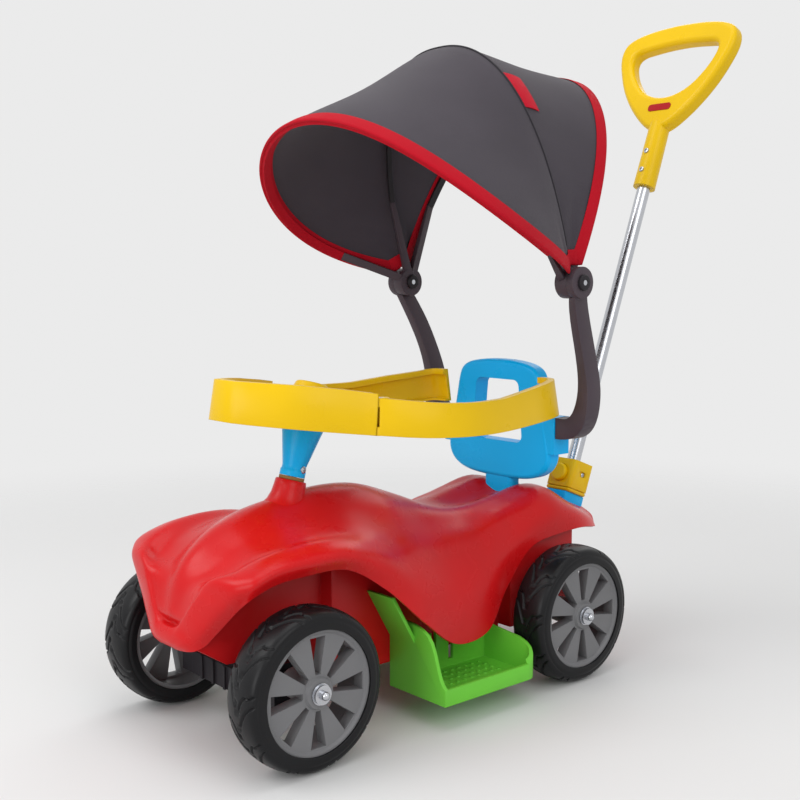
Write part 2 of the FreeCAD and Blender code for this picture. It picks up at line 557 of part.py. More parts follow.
def guardSweep(stations):
    stepsBetween = 3
    curve = Part.BSplineCurve()
    curve.interpolate(Points=[spot for spot, height in stations], Parameters=list(range(len(stations))))
    wires = []
    for step in range(stepsBetween * (len(stations) - 1) + 1):
        place = step / stepsBetween
        before = min(int(place), len(stations) - 2)
        share = place - before
        height = stations[before][1] * (1 - share) + stations[before + 1][1] * share
        run = curve.tangent(place)[0]
        run = Vector(run.x, run.y, 0).normalize()
        wires.append(guardWire(curve.value(place), height, run))
    return loft(wires, ruled=True)


frontHalf = [guardSpot(row, s.guard_front_height) for row in guardFrontShares]
mirrorHalf = [(Vector(-spot.x, spot.y, spot.z), height) for spot, height in reversed(frontHalf[1:])]
guardFront = guardSweep(mirrorHalf + frontHalf)
armStations = [guardSpot(row, s.guard_arm_height) for row in guardArmShares]
armRuns = runs([spot for spot, height in armStations])
seam, seamHeight = armStations[0]
seamRun = armRuns[0]
seamIn = Vector(-seamRun.y, seamRun.x, 0)
pinSpot = Vector(seam.x, seam.y, 0) + seamIn * (s.pin_inset + s.guard_draft)
knuckle = s.pin_inset + s.guard_draft + s.knuckle_clearance
seamTop = seam.z + seamHeight
seamMiddle = (seam.z + seamTop) / 2


def upright(radius, low, high, spot=pinSpot):
    return rod(radius, Vector(spot.x, spot.y, low), Vector(spot.x, spot.y, high))


def plate(corners, low, high):
    placed = [pinSpot + seamRun * along - seamIn * out + upAxis * low for along, out in corners]
    return prism(placed, upAxis * (high - low))


tongueLow = seamMiddle - s.tongue_half_height
tongueHigh = seamMiddle + s.tongue_half_height
tongueOut = s.pin_inset + s.guard_wall / 2
tongueCorners = [(0, -s.barrel_radius), (0, s.barrel_radius / 3), (-knuckle, s.barrel_radius / 3),
                 (-knuckle, tongueOut), (-s.tongue_length, tongueOut), (-s.tongue_length, -s.barrel_radius)]
tongue = plate(tongueCorners, tongueLow, tongueHigh).fuse(upright(s.barrel_radius, tongueLow, tongueHigh))


def knuckleCone(low, high, room):
    radii = [s.pin_inset + s.guard_draft * (seamTop - level) / seamHeight + room for level in (low, high)]
    return Part.makeCone(radii[0], radii[1], high - low, Vector(pinSpot.x, pinSpot.y, low))


knuckleRoom = knuckleCone(seam.z - s.guard_flange, seamTop + s.guard_flange, s.knuckle_clearance)
pinBore = upright(s.pin_radius + s.seat_clearance, s.guard_low, s.backrest_top)
deckMiddle = deckHeight + s.deck_thickness / 2
deckEdge = []
frontRuns = runs([spot for spot, height in mirrorHalf + frontHalf])[len(mirrorHalf):]
for (spot, height), run in zip(frontHalf[:-1], frontRuns):
    wallMiddle = s.guard_wall / 2 + s.guard_draft * (deckMiddle - spot.z) / height
    edgeSpot = spot + Vector(-run.y, run.x, 0) * wallMiddle
    deckEdge.append(Vector(edgeSpot.x, edgeSpot.y, deckHeight))
deckEdge.append(Vector(deckEdge[-1].x, -s.deck_rear - s.tongue_length, deckHeight))
deckEdge.append(Vector(deckEdge[-1].x / 2, -s.deck_rear, deckHeight))
deckLine = deckEdge + [Vector(-spot.x, spot.y, spot.z) for spot in reversed(deckEdge[1:])]
deck = prism(deckLine, upAxis * s.deck_thickness)
trimReach = 4 * knuckle
trimCorners = [(-s.overrun, -trimReach), (trimReach, -trimReach),
               (trimReach, trimReach), (-s.overrun, trimReach)]
seamTrim = plate(trimCorners, s.guard_low - s.guard_flange, s.backrest_top)
guardFront = guardFront.cut(seamTrim).cut(mirrored(seamTrim))
guardFront = guardFront.fuse(deck).cut(knuckleRoom).cut(mirrored(knuckleRoom))
guardFront = guardFront.fuse(tongue).fuse(mirrored(tongue))
deckBoss = steeringRod(s.deck_boss_radius, columnTop + s.part_gap, capBottom - s.part_gap)
guardFront = guardFront.fuse(deckBoss)
guardFront = guardFront.cut(steeringRod(shaftRadius + s.running_clearance, 0, 2 * shaftTop))
guardFront = guardFront.cut(pinBore).cut(mirrored(pinBore))
nodes.append(addNode("guard_front", guardFront.removeSplitter()))

arm = guardSweep(armStations).fuse(knuckleCone(seam.z, seamTop, 0))
windowAngles = (100, 140, 180, 220, 262)
windowReach = 2 * knuckle
windowCorners = [(0, 0)]
for angle in windowAngles:
    turn = math.radians(angle)
    windowCorners.append((windowReach * math.cos(turn), windowReach * math.sin(turn)))
windowLow = tongueLow - s.part_gap
windowHigh = tongueHigh + s.part_gap
arm = arm.cut(plate(windowCorners, windowLow, windowHigh))
arm = arm.cut(upright(s.barrel_radius + s.part_gap, windowLow, windowHigh))
arm = arm.cut(upright(s.pin_radius + s.running_clearance, s.guard_low, s.backrest_top)).removeSplitter()
nodes.append(addNode("guard_arm_left", arm))
nodes.append(addNode("guard_arm_right", mirrored(arm)))
pin = upright(s.pin_radius, seam.z, seamTop)
nodes.append(addNode("guard_pins", Part.makeCompound([pin, mirrored(pin)])))


# backrest with its window, stem, screws and the side brackets that hold the canopy arms
def roundedPrism(outline, rounding, depth, startY):
    spots = [Vector(x, startY, z) for x, z in outline]
    solid = prism(spots, Vector(0, depth, 0))
    return solid.makeFillet(rounding, [edge for edge in solid.Edges if edge.BoundBox.YLength > depth / 2])


def mirroredOutline(right):
    return right + [(-x, z) for x, z in reversed(right) if x > 0]


backrestRear = backrestFront + s.backrest_depth
backrestSpan = s.backrest_top - s.backrest_bottom
backrestShares = [(0, 1), (0.22, 0.997), (0.45, 0.982), (0.62, 0.957), (0.73, 0.915), (0.79, 0.84),
                  (0.84, 0.7), (0.91, 0.5), (0.97, 0.34), (1, 0.22), (0.93, 0.12), (0.76, 0.05),
                  (0.45, 0.01), (0, 0)]


def closedCurve(right):
    points = right + [Vector(-spot.x, spot.y, spot.z) for spot in reversed(right) if spot.x > 0]
    curve = Part.BSplineCurve()
    curve.interpolate(Points=points, PeriodicFlag=True)
    return Part.Wire(curve.toShape())


backrestSpots = [Vector(out * s.backrest_half_width, backrestFront, s.backrest_bottom + up * backrestSpan)
                 for out, up in backrestShares]
backrestLine = closedCurve(backrestSpots)
backrest = Part.Face(backrestLine).extrude(Vector(0, s.backrest_depth, 0))
rims = [edge for edge in backrest.Edges if edge.BoundBox.YLength < s.overrun]
backrest = backrest.makeFillet(s.backrest_rounding, rims)
windowOutline = mirroredOutline([(s.window_bottom_half_width, s.window_bottom),
                                 (s.window_top_half_width, s.window_top)])
window = roundedPrism(windowOutline, s.window_rounding, s.backrest_depth + 2 * s.overrun,
                      backrestFront - s.overrun)
stemTop = Vector(stemHigh.x, stemHigh.y, s.backrest_bottom + s.backrest_depth)
stem = box(stemLow, stemTop)
stem = stem.makeFillet(s.stem_rounding, [edge for edge in stem.Edges if edge.BoundBox.ZLength > s.overrun])
backrest = backrest.cut(window).fuse(stem)
bracketIn = s.backrest_half_width - s.backrest_rounding * 2
bracketHalf = s.arm_width / 2 + s.backrest_rounding / 2
bracket = box(Vector(bracketIn, s.arm_foot_reach - bracketHalf, s.bracket_bottom),
              Vector(bracketIn + s.bracket_width, s.arm_foot_reach + bracketHalf, s.bracket_top))
backrest = backrest.fuse(bracket).fuse(mirrored(bracket))


# canopy arm: stations up the J as shares of the rise from foot to hub: out, along, up, width, thickness
def rectWire(spot, run, across, width, thickness):
    run = Vector(run)
    run.normalize()
    across = across - run * across.dot(run)
    across.normalize()
    normal = run.cross(across)
    corners = [spot + across * (a * width / 2) + normal * (b * thickness / 2)
               for a, b in ((-1, -1), (1, -1), (1, 1), (-1, 1))]
    return Part.makePolygon(corners + corners[:1])


def barWires(stations):
    spots = [station[0] for station in stations]
    wires = []
    for index, (spot, across, width, thickness) in enumerate(stations):
        run = spots[min(index + 1, len(spots) - 1)] - spots[max(index - 1, 0)]
        wires.append(rectWire(spot, run, across, width, thickness))
    return wires


armX = s.hub_x + s.drum_width / 2 + s.part_gap + s.hinge_thickness / 2
hub = Vector(s.hub_x, s.hub_reach, s.hub_height)
armFoot = Vector(s.arm_foot_x, s.arm_foot_reach, s.arm_foot_height)
armSpan = Vector(armX, hub.y, hub.z) - armFoot
canopyArmShares = [(0, 0, 0, 1, 1), (0.276, 0.02, 0.005, 1, 0.98), (0.51, -0.02, 0.036, 1.05, 0.93),
                   (0.648, -0.07, 0.139, 1.08, 0.76), (0.69, -0.09, 0.278, 1.1, 0.6),
                   (0.717, 0.044, 0.423, 1.05, 0.5), (0.759, 0.311, 0.593, 1, 0.45),
                   (0.855, 0.733, 0.809, 0.95, 0.42), (0.966, 0.98, 0.948, 0.9, 0.4)]
canopyStations = []
for out, along, up, width, thick in canopyArmShares:
    spot = armFoot + Vector(armSpan.x * out, armSpan.y * along, armSpan.z * up)
    canopyStations.append((spot, Vector(0, 1, 0), width * s.arm_width, thick * s.foot_thickness))
canopyArm = loft(barWires(canopyStations))


def hubDisc(radius, middleX, thickness):
    half = Vector(thickness / 2, 0, 0)
    centre = Vector(middleX, hub.y, hub.z)
    return rod(radius, centre - half, centre + half)


boltLow = s.hub_x - s.drum_width / 2 - s.part_gap
boltHigh = armX + s.hinge_thickness / 2
canopyArm = canopyArm.cut(hubDisc(s.bolt_radius + s.seat_clearance, armX, 4 * s.hinge_thickness))
roomReach = 2 * s.hinge_thickness
innerFaceRoom = hubDisc(s.hinge_radius + s.part_gap, armX - s.hinge_thickness / 2 - roomReach / 2, roomReach)
canopyArm = canopyArm.cut(innerFaceRoom).fuse(hubDisc(s.hinge_radius, armX, s.hinge_thickness))
canopyArm = canopyArm.cut(hubDisc(s.bolt_radius + s.seat_clearance, armX, 4 * s.hinge_thickness))
canopyArm = canopyArm.removeSplitter()
backrest = backrest.cut(canopyArm).cut(mirrored(canopyArm))
screws = []
for side in (-1, 1):
    spot = Vector(side * s.stem_half_width / 2, backrestRear + s.screw_proud,
                  s.backrest_bottom + s.backrest_depth)
    screws.append(rod(s.screw_radius, spot - Vector(0, s.backrest_depth / 2, 0), spot))
for screw in screws:
    backrest = backrest.cut(screw)
nodes.append(addNode("backrest", backrest.removeSplitter()))
nodes.append(addNode("backrest_screws", Part.makeCompound(screws)))
nodes.append(addNode("canopy_arm_left", canopyArm))
nodes.append(addNode("canopy_arm_right", mirrored(canopyArm)))
bolt = rod(s.bolt_radius, Vector(boltLow, hub.y, hub.z), Vector(boltHigh, hub.y, hub.z))
for headX in (boltLow - s.bolt_head, boltHigh):
    headSpot = Vector(headX, hub.y, hub.z)
    bolt = bolt.fuse(rod(s.bolt_head_radius, headSpot, headSpot + Vector(s.bolt_head, 0, 0)))
bolt = bolt.removeSplitter()
nodes.append(addNode("canopy_bolts", Part.makeCompound([bolt, mirrored(bolt)])))


# canopy: three arches that fan out from the hubs, flat bows under them and the cloth over them
def archValue(name, item):
    return getattr(s, f"{name}_arch_{item}")


def archSpot(name, share, depth):
    end = math.radians(archValue(name, "end"))
    lean = math.radians(archValue(name, "lean"))
    power = 2 / archValue(name, "power")
    height = archValue(name, "height") - depth
    angle = share * end
    side, up = math.sin(angle), math.cos(angle)
    side = math.copysign(abs(side) ** power, side)
    up = math.copysign(abs(up) ** power, up)
    low = math.copysign(abs(math.cos(end)) ** power, math.cos(end))
    climb = (up - low) / (1 - low)
    along = height * climb
    bulge = archValue(name, "bow") * 4 * climb * (1 - climb)
    return Vector((archValue(name, "half_width") - depth) * side,
                  archValue(name, "y") + along * math.cos(lean) - bulge * math.sin(lean),
                  archValue(name, "z") + along * math.sin(lean) + bulge * math.cos(lean))


archSteps = 24
archShares = [2 * index / archSteps - 1 for index in range(archSteps + 1)]
archNames = ("front", "middle", "rear")


def archPoints(name, depth):
    return [archSpot(name, share, depth) for share in archShares]


def clothPanels(depth):
    ribs = [smoothEdge(archPoints(name, depth)) for name in archNames]
    return ribs, [Part.makeRuledSurface(ribs[index], ribs[index + 1]) for index in range(len(ribs) - 1)]


outerRibs, outerPanels = clothPanels(0)
innerRibs, innerPanels = clothPanels(s.fabric_thickness)
hems = [Part.makeRuledSurface(outerRibs[index], innerRibs[index]) for index in (0, -1)]
outerEnds = [archPoints(name, 0) for name in archNames]
innerEnds = [archPoints(name, s.fabric_thickness) for name in archNames]
for index in range(len(archNames) - 1):
    for end in (0, -1):
        hems.append(Part.makeRuledSurface(straightEdge(outerEnds[index][end], outerEnds[index + 1][end]),
                                          straightEdge(innerEnds[index][end], innerEnds[index + 1][end])))
clothShell = Part.Shell(outerPanels + innerPanels + hems)
clothShell.sewShape()
cloth = Part.Solid(clothShell)
if cloth.Volume < 0:
    cloth.reverse()
nodes.append(addNode("canopy_fabric", cloth))

# each bow lies flat under the cloth: its width follows the cloth, its depth points to the inside
canopyInside = Vector(0, hub.y, hub.z)
bowWidths = {"front": s.bow_width, "middle": s.bow_width * s.middle_bow_share, "rear": s.bow_width}
bowShifts = {"front": 0.5, "middle": 0, "rear": -0.5}
bowDrops = {"front": 0, "middle": s.crease_drop, "rear": 0}


def bowStation(name, share):
    index = archNames.index(name)
    shareStep = 0.01
    spot = archSpot(name, share, 0)
    ahead = archSpot(archNames[min(index + 1, 2)], share, 0)
    across = ahead - archSpot(archNames[max(index - 1, 0)], share, 0)
    run = archSpot(name, share + shareStep, 0) - archSpot(name, share - shareStep, 0)
    run.normalize()
    across = (across - run * across.dot(run)).normalize()
    inward = run.cross(across)
    if inward.dot(canopyInside - spot) < 0:
        inward = inward * -1
    depth = s.fabric_thickness + s.fabric_clearance + s.bow_thickness / 2 + bowDrops[name]
    placed = spot + inward * depth + across * (bowShifts[name] * bowWidths[name])
    return placed, across, bowWidths[name], s.bow_thickness


bracketPieces = [hubDisc(s.hinge_radius, s.hub_x, s.drum_width)]
barHub = hub - Vector(s.bar_inset, 0, 0)
for name in archNames:
    wires = barWires([bowStation(name, share) for share in archShares[2:-2]])
    nodes.append(addNode(f"canopy_bow_{name}", loft(wires)))
    foot, across, width, thickness = bowStation(name, archShares[-3])
    start = barHub + (Vector(barHub.x, foot.y, foot.z) - barHub).normalize() * (s.hinge_radius / 2)
    startWire = rectWire(start, foot - start, across, s.bow_width, s.drum_width / 2)
    bracketPieces.append(loft([startWire, wires[-1]], ruled=True))
canopyBracket = bracketPieces[0].multiFuse(bracketPieces[1:])
canopyBracket = canopyBracket.cut(hubDisc(s.bolt_radius + s.running_clearance, s.hub_x, 4 * s.drum_width))
canopyBracket = canopyBracket.removeSplitter()
nodes.append(addNode("canopy_bracket_left", canopyBracket))
nodes.append(addNode("canopy_bracket_right", mirrored(canopyBracket)))


# push pole, its socket and knob; all along the leaning pole axis
def poleRod(radius, low, high):
    return rod(radius, Vector(0, 0, low), Vector(0, 0, high))


nodes.append(addNode("push_pole", ring(poleRadius, poleRadius - s.pole_wall, Vector(0, 0, -s.pole_depth),
                                       Vector(0, 0, s.pole_length)), polePlace))


def blockBox(halfWidth, halfDepth, low, high, rounding):
    solid = box(Vector(-halfWidth, -halfDepth, low), Vector(halfWidth, halfDepth, high))
    return solid.makeFillet(rounding, [edge for edge in solid.Edges if edge.BoundBox.ZLength > s.overrun])


socket = blockBox(s.socket_half_width, s.socket_half_depth, -s.socket_block, 0, s.socket_rounding)
socket = socket.cut(poleRod(poleRadius + s.running_clearance, -s.socket_block - s.overrun, s.overrun))
knobEnd = Vector(0, -s.socket_half_depth + s.knob_seat, -s.knob_drop)
knobStart = knobEnd - Vector(0, s.knob_length, 0)
knobRoom = Vector(0, s.part_gap, 0)
socket = socket.cut(rod(s.knob_radius + s.part_gap, knobStart - knobRoom, knobEnd + knobRoom))
stemEnd = Vector(0, -poleRadius - s.part_gap, knobEnd.z)
socket = socket.cut(rod(s.knob_stem_radius + s.running_clearance, knobEnd, Vector(0, 0, knobEnd.z)))
slotSpot = Vector(s.socket_half_width - s.slot_depth, 0, -s.socket_screw_drop)
slotHalf = Vector(0, s.slot_length / 2 - s.screw_radius, 0)
slotOut = Vector(s.slot_depth + s.overrun, 0, 0)
socketSlot = rod(s.screw_radius, slotSpot - slotHalf, slotSpot - slotHalf + slotOut)
socketSlot = socketSlot.fuse(rod(s.screw_radius, slotSpot + slotHalf, slotSpot + slotHalf + slotOut))
socketSlot = socketSlot.fuse(box(slotSpot - slotHalf - Vector(0, 0, s.screw_radius),
                                 slotSpot + slotHalf + slotOut + Vector(0, 0, s.screw_radius)))
socket = socket.cut(socketSlot)
slotEnd = slotSpot + slotHalf
socketScrew = rod(s.screw_radius - s.part_gap, slotEnd, slotEnd + Vector(s.screw_proud, 0, 0))
nodes.append(addNode("pole_socket", socket.removeSplitter(), polePlace))
nodes.append(addNode("socket_screw", socketScrew, polePlace))
knob = rod(s.knob_radius, knobStart, knobEnd)
knobRim = [edge for edge in knob.Edges if edge.BoundBox.YMax < knobStart.y + s.overrun]
knob = knob.makeFillet(s.knob_radius / 5, knobRim)
nodes.append(addNode("clamp_knob", knob.fuse(rod(s.knob_stem_radius, knobEnd, stemEnd)), polePlace))
baseLow = -s.socket_block - s.base_thickness
base = blockBox(s.socket_half_width, s.socket_half_depth, baseLow, -s.socket_block, s.socket_rounding)
nodes.append(addNode("socket_base", base, polePlace))
bracketLow = Vector(-s.rear_bracket_half_width, -s.socket_half_depth, baseLow - s.rear_bracket_length)
bracketHigh = Vector(s.rear_bracket_half_width, s.socket_half_depth, baseLow)
rearBracket = box(bracketLow, bracketHigh)
notchRoom = Vector(s.seat_clearance, s.seat_clearance, s.seat_clearance)
notch = box(bracketLow - notchRoom, bracketHigh + notchRoom)
notch.Placement = polePlace
nodes.append(addNode("rear_bracket", rearBracket, polePlace))
shell = shell.cut(notch)
nodes.append(addNode("body_shell", shell.removeSplitter()))


# D handle: a thick rounded frame on a neck that takes the pole. Right half of each outline, as shares
# of the half width and the top height.
handleOuterShares = [(0, 1), (0.24, 0.997), (0.47, 0.989), (0.66, 0.976), (0.82, 0.956), (0.95, 0.92),
                     (1, 0.868), (0.943, 0.741), (0.792, 0.608), (0.585, 0.487), (0.34, 0.384),
                     (0.13, 0.327), (0, 0.316)]
handleHoleShares = [(0, 0.871), (0.2, 0.869), (0.377, 0.863), (0.55, 0.855), (0.66, 0.846), (0.73, 0.825),
                    (0.742, 0.8), (0.717, 0.755), (0.575, 0.654), (0.387, 0.578), (0.189, 0.54),
                    (0, 0.529)]


def handleWire(shares):
    return closedCurve([Vector(out * s.grip_half_width, -s.grip_half_depth, up * s.grip_top)
                        for out, up in shares])


def rimEdges(solid, farthest):
    flat = [edge for edge in solid.Edges if edge.BoundBox.YLength < s.part_gap]
    return [edge for edge in flat if abs(edge.CenterOfMass.y) > s.grip_half_depth - s.part_gap
            and edge.BoundBox.XMax < farthest + s.overrun]


gripDepth = Vector(0, 2 * s.grip_half_depth, 0)
grip = Part.Face(handleWire(handleOuterShares)).extrude(gripDepth)
grip = grip.makeFillet(s.grip_rounding, rimEdges(grip, 2 * s.grip_half_width))
hole = Part.Face(handleWire(handleHoleShares)).extrude(gripDepth)
grip = grip.cut(hole)
grip = grip.makeFillet(s.grip_rounding, rimEdges(grip, hole.BoundBox.XMax))
neckShare = 0.94
neckLow = Vector(0, 0, -s.neck_drop)
neckCone = Part.makeCone(s.neck_radius, s.neck_radius * neckShare, s.neck_length + s.neck_drop, neckLow)
handle = grip.fuse(neckCone)
handle = handle.cut(poleRod(poleRadius + s.seat_clearance, -s.neck_drop - s.overrun, s.neck_depth))
insertLow = Vector(-s.insert_half_width, -s.neck_radius - s.overrun, s.insert_height - s.insert_half_height)
insertHigh = Vector(s.insert_half_width, -s.grip_half_depth + s.insert_depth,
                    s.insert_height + s.insert_half_height)
insert = box(insertLow, insertHigh)
insertRound = 0.9 * s.insert_half_height
insertCorners = [edge for edge in insert.Edges if edge.BoundBox.YLength > s.overrun]
insert = insert.makeFillet(insertRound, insertCorners)
insertFace = -s.grip_half_depth - s.screw_proud / 2
insert = insert.cut(box(insertLow - Vector(s.overrun, s.overrun, s.overrun),
                        Vector(insertHigh.x + s.overrun, insertFace, insertHigh.z + s.overrun)))
handleScrews = []
for height in (s.handle_screw_first, s.handle_screw_second):
    spot = Vector(0, -s.neck_radius - s.screw_proud, height)
    handleScrews.append(rod(s.screw_radius, spot, Vector(0, -poleRadius - s.part_gap, height)))
handle = handle.cut(insert)
for screw in handleScrews:
    handle = handle.cut(screw)
handlePlace = polePlace.multiply(FreeCAD.Placement(Vector(0, 0, handleStart), FreeCAD.Rotation()))
nodes.append(addNode("push_handle", handle, handlePlace))
nodes.append(addNode("handle_insert", insert, handlePlace))
nodes.append(addNode("handle_screws", Part.makeCompound(handleScrews), handlePlace))


# footrests: trays with a low outer lip, a tall rounded front wall, a rear wall and an inner wall
# The front wall's top edge is given as shares of the tray's width and the wall's height, the rear wall's
# as shares of its rounding and of its rise above the lip.
footRear = rearAxleY - s.wheel_radius - s.foot_gap
footFrontShares = [(1, 0.23), (0.96, 0.26), (0.915, 0.33), (0.875, 0.43), (0.84, 0.55), (0.8, 0.68),
                   (0.75, 0.8), (0.68, 0.89), (0.58, 0.95), (0.45, 0.985), (0.3, 1), (0, 1)]
footRearShares = [(0.08, 0.12), (0.2, 0.3), (0.4, 0.5), (0.65, 0.66), (1, 0.8)]


def makeFootrest():
    low = Vector(s.foot_inner, -s.foot_front, s.foot_bottom)
    high = Vector(s.foot_outer, footRear, s.foot_bottom + s.foot_front_height)
    block = box(low, high)
    corner = [edge for edge in block.Edges
              if edge.BoundBox.ZLength > s.overrun and edge.BoundBox.XMin > high.x - s.overrun
              and edge.BoundBox.YMin > high.y - s.overrun]
    block = block.makeFillet(s.foot_corner, corner)
    floorTop = low.z + s.foot_floor
    room = box(Vector(low.x + s.foot_wall, low.y + s.foot_wall, floorTop),
               Vector(high.x - s.foot_wall, high.y - s.foot_wall, high.z + s.overrun))
    innerCorner = [edge for edge in room.Edges
                   if edge.BoundBox.ZLength > s.overrun and edge.BoundBox.XMin > high.x - s.foot_corner
                   and edge.BoundBox.YMin > high.y - s.foot_corner]
    block = block.cut(room.makeFillet(s.foot_corner - s.foot_wall, innerCorner))
    lipTop = low.z + s.foot_lip
    wallEnd = low.y + s.foot_wall
    width = high.x - low.x
    frontProfile = [Vector(low.x, low.y, low.z), Vector(high.x, low.y, low.z)]
    frontProfile += [Vector(low.x + out * width, low.y, low.z + up * s.foot_front_height)
                     for out, up in footFrontShares]
    frontKeep = prism(frontProfile, Vector(0, s.foot_wall, 0))
    sideProfile = [Vector(low.x, wallEnd, low.z), Vector(low.x, high.y, low.z),
                   Vector(low.x, high.y, low.z + s.foot_rear_height),
                   Vector(low.x, wallEnd, low.z + s.foot_inner_height)]
    sideKeep = prism(sideProfile, Vector(s.foot_wall, 0, 0))
    rearStart = high.y - s.foot_corner
    rearRise = s.foot_rear_height - s.foot_lip
    rearProfile = [Vector(low.x, rearStart, low.z), Vector(high.x, rearStart, low.z),
                   Vector(high.x, rearStart, lipTop)]
    rearProfile += [Vector(high.x - out * s.foot_rear_round, rearStart, lipTop + up * rearRise)
                    for out, up in footRearShares]
    rearProfile += [Vector(low.x, rearStart, low.z + s.foot_rear_height)]
    rearKeep = prism(rearProfile, Vector(0, s.foot_corner, 0))
    lipKeep = box(Vector(low.x, low.y, low.z), Vector(high.x, high.y, lipTop))
    keep = lipKeep.multiFuse([frontKeep, sideKeep, rearKeep])
    tray = block.common(keep)
    plateProfile = [Vector(low.x, low.y, s.guard_plate_low), Vector(low.x, wallEnd, s.guard_plate_low),
                    Vector(low.x, wallEnd - s.guard_plate_lean, s.guard_plate_high),
                    Vector(low.x, low.y - s.guard_plate_lean, s.guard_plate_high)]
    guardPlate = prism(plateProfile, Vector(s.guard_plate_outer - low.x, 0, 0))
    tray = tray.fuse(guardPlate)
    dimples = []
    columns = int((high.x - low.x - 4 * s.foot_wall) / s.dimple_pitch)
    rows = int((high.y - low.y - 6 * s.foot_wall) / s.dimple_pitch)
    for column in range(1, columns + 1):
        for row in range(1, rows + 1):
            spot = Vector(low.x + s.foot_wall + column * s.dimple_pitch,
                          wallEnd + row * s.dimple_pitch, floorTop)
            rise = upAxis * s.dimple_height
            dimples.append(rod(s.dimple_radius, spot - rise, spot + rise))
    tray = tray.multiFuse(dimples)
    for share in (0.42, 0.6):
        y = low.y + (high.y - low.y) * share
        tray = tray.cut(box(Vector(low.x - s.overrun, y - s.foot_slot_width / 2, low.z + s.foot_slot_low),
                            Vector(low.x + s.foot_wall + s.overrun, y + s.foot_slot_width / 2, high.z)))
    return tray.removeSplitter()


footrest = makeFootrest()
footScrews = []
for share in (0.2, 0.8):
    y = -s.foot_front + (footRear + s.foot_front) * share
    seat = Vector(s.mid_half_width - s.tub_wall, y, s.foot_screw_height)
    screwEnd = Vector(s.foot_inner + s.foot_wall + s.screw_proud, y, s.foot_screw_height)
    footScrews.append(rod(s.screw_radius, seat, screwEnd))
for screw in footScrews:
    footrest = footrest.cut(screw)
    underbody = underbody.cut(screw).cut(mirrored(screw))
nodes.append(addNode("underbody", underbody.removeSplitter()))
footGroup = Part.makeCompound(footScrews)
nodes.append(addNode("footrest_left", footrest))
nodes.append(addNode("footrest_right", mirrored(footrest)))
nodes.append(addNode("footrest_screws", Part.makeCompound([footGroup, mirrored(footGroup)])))

doc.recompute()
faults = [item.Label for item in doc.Objects if "Invalid" in item.State or "Error" in item.State]
faults += [node.Label for node in nodes if node.Shape.isNull() or not node.Shape.isValid()]
if faults:
    raise RuntimeError("faulty objects: " + ", ".join(faults))
os.makedirs("parts", exist_ok=True)
for node in nodes:
    node.Shape.exportStep(f"parts/{node.Label}.step")
    print(node.Label, len(node.Shape.Solids), round(node.Shape.Volume / 1000, 2))
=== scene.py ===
import bpy
import json
import math
from mathutils import Matrix, Vector

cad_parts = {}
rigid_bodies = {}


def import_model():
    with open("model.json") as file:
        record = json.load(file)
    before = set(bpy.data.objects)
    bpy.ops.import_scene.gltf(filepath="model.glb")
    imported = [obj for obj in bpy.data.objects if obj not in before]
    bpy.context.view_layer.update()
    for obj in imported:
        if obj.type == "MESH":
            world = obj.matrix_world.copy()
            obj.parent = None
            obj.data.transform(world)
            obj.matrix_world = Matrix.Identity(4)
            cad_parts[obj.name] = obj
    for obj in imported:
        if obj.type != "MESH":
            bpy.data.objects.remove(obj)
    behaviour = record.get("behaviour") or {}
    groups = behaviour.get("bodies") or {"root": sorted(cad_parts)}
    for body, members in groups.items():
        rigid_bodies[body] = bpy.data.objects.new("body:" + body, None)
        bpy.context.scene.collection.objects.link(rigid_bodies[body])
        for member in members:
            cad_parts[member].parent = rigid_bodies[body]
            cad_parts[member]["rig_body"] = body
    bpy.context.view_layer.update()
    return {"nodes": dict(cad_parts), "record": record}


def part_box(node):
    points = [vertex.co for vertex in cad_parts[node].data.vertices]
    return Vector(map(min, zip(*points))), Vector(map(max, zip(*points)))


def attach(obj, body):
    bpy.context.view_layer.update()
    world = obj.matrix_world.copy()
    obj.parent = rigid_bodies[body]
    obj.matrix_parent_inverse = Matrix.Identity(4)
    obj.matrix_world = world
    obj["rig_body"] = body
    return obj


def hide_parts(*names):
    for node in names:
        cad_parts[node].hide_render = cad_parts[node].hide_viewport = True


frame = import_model()
print("frame loaded:", len(frame["nodes"]), "nodes")


# camera, floor and lamps; lengths along the car are counted from the middle of the wheelbase
axleEnds = [*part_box("front_axle"), *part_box("rear_axle")]
middleY = sum(corner.y for corner in axleEnds) / 4
shot = {"place": (1.1145, -0.9349 + middleY, 0.5314), "target": (0, 0.0371 + middleY, 0.3743),
        "lens": 51.87, "sensor": 36}
stage = {"half": 6.0, "tone": (0.83, 0.83, 0.83), "matt": 0.74, "fadeStart": 0.9, "fadeEnd": 2.0,
         "ambient": 0.62, "lampTarget": (0, 0, 0.3)}
lamps = [
    {"name": "keyLamp", "place": (-0.9, -2.4, 2.6), "size": 1.8, "power": 30},
    {"name": "sideLamp", "place": (2.6, -0.6, 1.9), "size": 2.0, "power": 18},
    {"name": "rearLamp", "place": (-1.2, 2.2, 2.4), "size": 1.8, "power": 10},
    {"name": "topLamp", "place": (0.1, -0.3, 3.2), "size": 2.4, "power": 22},
    {"name": "frontLamp", "place": (0.7, -2.5, 0.8), "size": 1.4, "power": 14},
]


def aimAt(obj, target):
    obj.rotation_euler = (Vector(target) - obj.location).to_track_quat("-Z", "Y").to_euler()


def addCamera():
    data = bpy.data.cameras.new("photoCamera")
    data.lens = shot["lens"]
    data.sensor_width = shot["sensor"]
    data.dof.use_dof = False
    camera = bpy.data.objects.new("photoCamera", data)
    bpy.context.scene.collection.objects.link(camera)
    camera.location = shot["place"]
    aimAt(camera, shot["target"])
    bpy.context.scene.camera = camera


